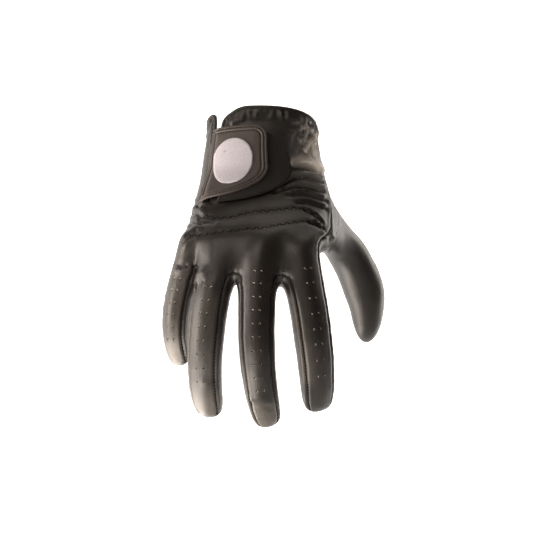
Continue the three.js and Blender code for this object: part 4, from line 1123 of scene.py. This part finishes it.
airHoles = {
    "back_panel": [spot for f in fingers for spot in holeCentres(f["line"], f["reach"], *f["holes"], 90)],
    "thumb": holeCentres(thumbLine, hand["thumbLength"], *thumb["holes"], thumb["facing"]),
}
for index, name in enumerate(panelNames):
    mesh = panelMesh(index)
    if name in airHoles:
        wall = linkNew(name + "_wall", mesh)
        centres = lineObject(name + "_holes", [[spot] for spot in airHoles[name]])
        # the cut walls of the holes take the pale edge colour, partly painted highlight
        runTree(wall, punches, punchSockets, {"Centres": centres, "Width": holeSizes["width"] * mm,
                                              "Depth": holeSizes["depth"] * mm, "Material": paleHoleRim})
        mesh = settled(wall, name + "_leather")
        bpy.data.objects.remove(centres)
    finish(mesh, name + "_leather", name)
    print("panel:", name, len(mesh.polygons), "faces")

# Seam stitches: short threads over every seam between two panels


def chained(edges):
    after = {}
    for a, b in edges:
        after.setdefault(a, []).append(b)
        after.setdefault(b, []).append(a)
    left = {frozenset(e) for e in edges}
    chains = []
    while left:
        ends = [v for v in after if len(after[v]) != 2 and any(frozenset((v, w)) in left for w in after[v])]
        start = ends[0] if ends else next(iter(next(iter(left))))
        chain = [start]
        while True:
            options = [w for w in after[chain[-1]] if frozenset((chain[-1], w)) in left]
            if not options:
                break
            left.discard(frozenset((chain[-1], options[0])))
            chain.append(options[0])
        chains.append(chain)
    return chains


def threadRow(name, chains, tree, sockets, sizes):
    row = lineObject(name, chains)
    runTree(row, tree, sockets, sizes | {"Material": threadMaterial})
    finish(settled(row, name), name, sharp=None)


seamThread = {"Pitch": 1.9 * mm, "Length": 1.9 * mm, "Thread": 0.45 * mm, "Turn": 75 * degree,
              "Lift": 0.3 * mm, "Seed": 5}
shortestSeam = 4  # points
seamChains = []
for pair in sorted({p for *_, p in seamEdges}):
    for chain in chained([(a, b) for a, b, p in seamEdges if p == pair]):
        if len(chain) >= shortestSeam:
            seamChains.append([(shape[v], shapeNormals[v]) for v in chain])
threadRow("seam_stitches", seamChains, stitches, stitchSockets, seamThread)
print("seam stitches: made")

# Zigzag rows: each holds down an elastic under the leather

inFront = 200  # mm, where the rays start that find the leather


def projected(line, spacing=1.5):
    line = np.array(line)
    spread = np.concatenate([[0], np.cumsum(np.linalg.norm(np.diff(line, axis=0), axis=1))])
    steps = np.arange(0, spread[-1], spacing)
    chain = []
    for x, z in zip(np.interp(steps, spread, line[:, 0]), np.interp(steps, spread, line[:, 1])):
        found = shapeTree.ray_cast(Vector((x, -inFront, z)), Vector((0, 1, 0)))
        if found[0]:
            normal = found[1] if found[1].y < 0 else -found[1]
            chain.append((np.array(found[0]), np.array(normal)))
    return chain


zigzagThread = {"Pitch": 4.7 * mm, "Swing": 1.0 * mm, "Thread": 0.62 * mm, "Lift": 0.15 * mm}
for name, line in zigzagRows.items():
    threadRow("zigzag_" + name, [projected(line)], zigzag, zigzagSockets, zigzagThread)
print("zigzag rows: made")

# Binding: a strip folded over the rim of the wrist and round the slit

bindingSizes = dict(width=2.5, thickness=2.2, strip=0.5, bend=0.25, seamInset=0.5, seamSunk=0.1)
# one side of the fold, in shares of the width and of half the thickness
bindingSide = [(1.0, 0.72), (0.6, 0.98), (0.25, 1.0)]
bindingThread = {"Pitch": 2.6 * mm, "Length": 1.9 * mm, "Thread": 0.34 * mm, "Turn": 0.0, "Lift": 0.08 * mm,
                 "Seed": 9}


def bindingMesh():
    following = dict(rimEdges)
    loop = [rimEdges[0][0]]
    while following[loop[-1]] != loop[0]:
        loop.append(following[loop[-1]])
    ring = shape[loop]
    normal = shapeNormals[loop]
    ahead = np.roll(ring, -2, axis=0) - np.roll(ring, 2, axis=0)
    ahead /= np.linalg.norm(ahead, axis=1, keepdims=True)
    inward = np.cross(normal, ahead)
    for _ in range(3):
        inward = (inward + np.roll(inward, 1, axis=0) + np.roll(inward, -1, axis=0)) / 3
    inward /= np.linalg.norm(inward, axis=1, keepdims=True)
    width, half, strip = bindingSizes["width"], bindingSizes["thickness"] / 2, bindingSizes["strip"]
    outer = [(width * x, half * y) for x, y in bindingSide]
    bent = [(0.0, outer[0][1]), (-bindingSizes["bend"], 0.0), (0.0, -outer[0][1])]
    section = outer + bent + [(x, -y) for x, y in reversed(outer)]
    section += [(x if x > 0 else x + strip, y * (half - strip) / half) for x, y in reversed(section)]
    n = len(section)
    verts = []
    for i in range(len(loop)):
        verts += [ring[i] + inward[i] * x + normal[i] * (y - hand["leather"] / 2) for x, y in section]
    quadsOut = []
    for i in range(len(loop)):
        j = (i + 1) % len(loop)
        for k in range(n):
            m = (k + 1) % n
            quadsOut.append([i * n + k, j * n + k, j * n + m, i * n + m])
    mesh = bpy.data.meshes.new("cuff_binding_strip")
    mesh.from_pydata((np.array(verts) * mm).tolist(), [], quadsOut)
    mesh.materials.append(bindingMaterial)
    return mesh, ring, normal, inward


bindingStrip, rimRing, rimNormal, rimInward = bindingMesh()
finish(bindingStrip, "cuff_binding_strip", "cuff_binding", 60)
bindingTop = bindingSizes["thickness"] / 2 - hand["leather"] / 2 - bindingSizes["seamSunk"]
edgeRow = rimRing + rimInward * (bindingSizes["width"] - bindingSizes["seamInset"]) + rimNormal * bindingTop
closedRow = list(zip(np.vstack([edgeRow, edgeRow[:1]]), np.vstack([rimNormal, rimNormal[:1]])))
threadRow("binding_stitches", [closedRow], stitches, stitchSockets, bindingThread)
print("binding: made")

# Tab, loop patch and badge lie over the wrist, at lengths round it from the tab's sewn edge

tab = dict(length=38, width=57, centre=11, corner=8.5, lowerCorner=28, thickness=1.8, border=3, lean=2,
           sewnAngle=148, lastAngle=-20, seams=(1.95, 3.95), columns=110, rows=130)
# the tab's profile in from its edge: rolled rim, groove, ridge, groove, then the padded middle,
# with distances in mm and heights as shares of its thickness
tabProfile = ([0, 0.35, 0.9, 1.5, 1.9, 2.3, 2.9, 3.5, 3.9, 4.4, 5.4, 9],
              [0.2, 0.62, 0.82, 0.78, 0.62, 0.82, 1.0, 0.86, 0.62, 0.86, 0.98, 1.08])
tabThread = {"Pitch": 2.3 * mm, "Length": 1.8 * mm, "Thread": 0.36 * mm, "Turn": 0.0, "Lift": 0.02 * mm,
             "Seed": 7}
patch = dict(start=12, reach=13.5, drop=4, corner=21, lowerCorner=34, thickness=1.0, rise=1.0, rolled=1.2,
             columns=60, rows=80)
badge = dict(width=22.5, height=38.5, inset=6.6, lift=7, fall=0.68, thickness=0.6, sides=72, rings=18,
             roundFrom=0.93, roundOver=0.07, roundBy=0.7, topGap=0.35, underGap=0.05)
layerGap = 0.55
walked = [0.0]
angles = np.arange(tab["sewnAngle"], tab["lastAngle"], -0.5)
for a, b in zip(angles[:-1], angles[1:]):
    walked.append(walked[-1] + float(np.linalg.norm(handSurface(0, a) - handSurface(0, b))))


def overWrist(roundWrist, along, liftBy):
    angle = float(np.interp(roundWrist, walked, angles))
    p = handSurface(along, angle)
    u = handSurface(along, angle - 1) - p
    v = handSurface(along + 1, angle) - p
    n = np.cross(u, v)
    return p - n / np.linalg.norm(n) * liftBy


def sheetMesh(name, start, leanBy, end, low, high, corners, under, over, columns, rowsCount, material):
    rowsAt = [mix(low, high, s) for s in spacedEdges(rowsCount)]
    shares = spacedEdges(columns)
    verts = []
    for side in (over, under):
        for along in rowsAt:
            nearEdge = min(along - low, high - along)
            corner = corners[0] if along - low < high - along else corners[1]
            past = max(0, corner - nearEdge)
            inset = corner - math.sqrt(max(0, corner * corner - past * past))
            first = start + leanBy * (high - along) / (high - low)
            for share in shares:
                r = mix(first, end - inset, share)
                rim = min(r - first, end - r, nearEdge)
                if past > 0 and r > end - corner:
                    rim = max(0.0, min(rim, corner - math.hypot(r - end + corner, past)))
                verts.append(overWrist(r, along, side(r, rim, along)) * mm)
    n, half = columns, columns * rowsCount
    out = []
    for r in range(rowsCount - 1):
        for c in range(columns - 1):
            i = r * n + c
            out.append([i, i + n, i + n + 1, i + 1])
            out.append([half + i + 1, half + i + n + 1, half + i + n, half + i])

    def wall(a, b):
        out.append([a, b, b + half, a + half])

    for c in range(n - 1):
        wall(c, c + 1)
        wall(half - n + c + 1, half - n + c)
    for r in range(rowsCount - 1):
        wall((r + 1) * n, r * n)
        wall((r + 1) * n - 1, (r + 2) * n - 1)
    mesh = bpy.data.meshes.new(name)
    mesh.from_pydata([tuple(v) for v in verts], [], out)
    mesh.materials.append(material)
    return mesh


def spacedEdges(count):  # finer at both ends, where a sheet rounds off
    t = np.linspace(0, 1, count)
    return 0.55 * t + 0.45 * (0.5 - 0.5 * np.cos(np.pi * t))


# Heights over the leather, by length round the wrist, distance in from the rim and length along the glove
def underPatch(r, rim, along):
    return layerGap + patch["rise"] * float(ease((along - tab["centre"]) / (tab["width"] / 3)))


def underTab(r, rim, along):
    return underPatch(r, rim, along) + float(ease(r / (tab["length"] / 5))) * (layerGap + patch["thickness"])


def tabTop(r, rim, along):
    return underTab(r, rim, along) + tab["thickness"] * float(np.interp(rim, *tabProfile))


def patchTop(r, rim, along):
    return underPatch(r, rim, along) + patch["thickness"] * float(ease(rim / patch["rolled"] + 0.25))


tabLow, tabHigh = tab["centre"] - tab["width"] / 2, tab["centre"] + tab["width"] / 2
cover = sheetMesh("closure_tab_cover", 0, tab["lean"], tab["length"], tabLow, tabHigh,
                  (tab["corner"], tab["lowerCorner"]), underTab, tabTop, tab["columns"], tab["rows"],
                  microfibre)
finish(cover, "closure_tab_cover", "closure_tab", 55)
pile = sheetMesh("loop_patch_pile", patch["start"], 0, tab["length"] + patch["reach"], tabLow + tab["border"],
                 tabHigh + patch["drop"], (patch["corner"], patch["lowerCorner"]), underPatch, patchTop,
                 patch["columns"], patch["rows"], loopMaterial)
finish(pile, "loop_patch_pile", "loop_patch", 60)


def tabRow(inset, spacing=1.5):  # a line round the tab at a distance in from its edge
    low, high, end = tabLow + inset, tabHigh - inset, tab["length"] - inset
    corner, lower = tab["corner"] - inset, tab["lowerCorner"] - inset

    def firstAt(along):
        return tab["lean"] * (tabHigh - along) / (tabHigh - tabLow) + inset

    path = [(r, low) for r in np.arange(firstAt(low), end - corner, spacing)]
    path += [(end - corner + corner * math.sin(a), low + corner - corner * math.cos(a))
             for a in np.linspace(0, math.pi / 2, 9)]
    path += [(end, along) for along in np.arange(low + corner + spacing, high - lower, spacing)]
    path += [(end - lower + lower * math.cos(a), high - lower + lower * math.sin(a))
             for a in np.linspace(0, math.pi / 2, 15)]
    path += [(r, high) for r in np.arange(end - lower, firstAt(high), -spacing)]
    path += [(firstAt(along), along) for along in np.arange(high, low, -spacing)]
    path.append(path[0])
    chain = []
    for r, along in path:
        h = underTab(r, 0, along) + tab["thickness"] * float(np.interp(inset, *tabProfile))
        p = overWrist(r, along, h)
        n = overWrist(r, along, h + 1) - p
        chain.append((p, n / np.linalg.norm(n)))
    return chain


threadRow("tab_stitches", [tabRow(inset) for inset in tab["seams"]], stitches, stitchSockets, tabThread)


def badgeMesh():
    middle = badge["inset"] + badge["width"] / 2
    rings = np.concatenate([[0, 0.02], np.linspace(0.12, 0.9, badge["rings"] - 5), [0.95, 0.985, 1.0]])
    verts, weave = [], []
    for top in (True, False):
        for ring in rings:
            for k in range(badge["sides"] if ring else 1):
                a = k / badge["sides"] * 2 * math.pi
                share = badge["fall"] if math.sin(a) > 0 else 1 - badge["fall"]
                x, y = ring * badge["width"] / 2 * math.cos(a), ring * badge["height"] * share * math.sin(a)
                r, along = middle + x, tab["centre"] - badge["lift"] + y
                past = max(0.0, (ring - badge["roundFrom"]) / badge["roundOver"])
                rounded = math.sqrt(max(0.0, 1 - past ** 2 * badge["roundBy"]))
                raised = badge["thickness"] * rounded + badge["topGap"]
                base = underTab(r, 0, along) + tab["thickness"] * tabProfile[1][-1]
                verts.append(overWrist(r, along, base + (raised if top else badge["underGap"])) * mm)
                weave.append((x, y))
    count = len(verts) // 2

    def at(ring, k):
        return 0 if ring == 0 else 1 + (ring - 1) * badge["sides"] + k % badge["sides"]

    out = []
    for k in range(badge["sides"]):
        for ring in range(len(rings) - 1):
            a, b, c, d = at(ring, k), at(ring + 1, k), at(ring + 1, k + 1), at(ring, k + 1)
            face = [a, c, b] if ring == 0 else [a, d, c, b]
            out.append(face)
            out.append([v + count for v in reversed(face)])
        i, j = at(len(rings) - 1, k), at(len(rings) - 1, k + 1)
        out.append([i, j, j + count, i + count])
    mesh = bpy.data.meshes.new("badge_label")
    mesh.from_pydata([tuple(v) for v in verts], [], out)
    layer = mesh.uv_layers.new(name="weave")
    for loop in mesh.loops:
        layer.data[loop.index].uv = weave[loop.vertex_index]
    mesh.materials.append(labelMaterial)
    return mesh


finish(badgeMesh(), "badge_label", "badge", 50)
print("tab, patch and badge: made")

# Studio: pale floor and backdrop, soft lights, and the camera of the photograph

studio = dict(floor=-0.235, world=0.08, glow=1.0, warmth=(1.0, 0.9, 0.8))
# the backdrop's sizes in metres, and the shares of its rows that lie flat, bend up and stand
paper = dict(front=-1.6, back=0.6, halfWidth=2.2, bend=0.4, height=1.6, rows=60, flat=0.45, bent=0.25,
             upright=0.3)
gloveMiddle = (0, -0.02, -0.06)
view = dict(place=(4.8, -540, -66), lens=56.53, sensor=36, clip=0.01)


def stageMesh():
    rows = []
    for i in range(paper["rows"] + 1):
        t = i / paper["rows"] - paper["flat"]
        if t < 0:
            rows.append((mix(paper["front"], paper["back"], 1 + t / paper["flat"]), studio["floor"]))
        else:
            a = min(1, t / paper["bent"]) * math.pi / 2
            climb = max(0, (t - paper["bent"]) / paper["upright"]) * paper["height"]
            rows.append((paper["back"] + paper["bend"] * math.sin(a),
                         studio["floor"] + paper["bend"] * (1 - math.cos(a)) + climb))
    verts = [(x, y, z) for y, z in rows for x in (-paper["halfWidth"], paper["halfWidth"])]
    out = [[2 * i, 2 * i + 1, 2 * i + 3, 2 * i + 2] for i in range(len(rows) - 1)]
    mesh = bpy.data.meshes.new("backdrop")
    mesh.from_pydata(verts, [], out)
    mesh.polygons.foreach_set("use_smooth", [True] * len(mesh.polygons))
    glowing = mesh.attributes.new("glow", "FLOAT", "POINT")  # the table is darker in front of the glove
    glowing.data.foreach_set("value", [studio["glow"] * float(ease((y + 0.03) / 0.06)) for _, y, _ in verts])
    material, tree, shader = newMaterial("white_paper")
    glow = addNode(tree, "ShaderNodeAttribute", {"attribute_name": "glow"})
    setInputs(tree, shader, {"Base Color": linear("#f4f3f1"), "Roughness": 0.9,
                             "Emission Color": (1, 1, 1, 1), "Emission Strength": glow.outputs["Fac"]})
    mesh.materials.append(material)
    return linkNew("backdrop", mesh)


stageMesh()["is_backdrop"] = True


def softLight(name, place, target, size, power, spread=180):
    data = bpy.data.lights.new(name, "AREA")
    data.shape, data.size, data.size_y, data.energy = "RECTANGLE", size[0], size[1], power
    data.color = studio["warmth"]
    data.spread = math.radians(spread)
    light = bpy.data.objects.new(name, data)
    bpy.context.scene.collection.objects.link(light)
    light.location = place
    light.rotation_euler = (Vector(target) - Vector(place)).to_track_quat("-Z", "Y").to_euler()


softLight("key_softbox", (-0.35, -0.8, 0.75), gloveMiddle, (0.6, 0.6), 2.7)
softLight("left_softbox", (-0.79, -0.28, -0.08), gloveMiddle, (0.36, 0.8), 9.5)
softLight("rim_softbox", (-0.8, 0.25, 0.0), gloveMiddle, (0.4, 1.0), 3.0)
softLight("right_softbox", (0.7, 0.4, 0.1), gloveMiddle, (0.3, 0.9), 3.0)
softLight("wrist_snoot", (0.48, -0.62, 0.2), (0.048, -0.006, 0.006), (0.02, 0.02), 0.022, spread=4)
softLight("top_softbox", (0.1, 0.1, 0.8), (0, -0.03, -0.06), (0.6, 0.3), 0.8)
softLight("table_glow", (-0.22, -0.14, -0.232), (-0.22, -0.14, 0), (0.3, 0.35), 2.6)
world = bpy.data.worlds.new("studio_air")
world.use_nodes = True
world.node_tree.nodes["Background"].inputs[0].default_value = (*studio["warmth"], 1)
world.node_tree.nodes["Background"].inputs[1].default_value = studio["world"]
bpy.context.scene.world = world
bpy.context.scene.view_settings.view_transform = "Standard"

camera = bpy.data.objects.new("camera", bpy.data.cameras.new("camera"))
bpy.context.scene.collection.objects.link(camera)
camera.location = [v * mm for v in view["place"]]
camera.rotation_euler = (math.pi / 2, 0, 0)
camera.data.lens = view["lens"]
camera.data.sensor_width = view["sensor"]
camera.data.clip_start = view["clip"]
bpy.context.scene.camera = camera

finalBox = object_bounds()
for label, box in (("cad", cadBox), ("scene", finalBox)):
    print("size:", label, [round(v * 1000, 1) for corner in box for v in corner])
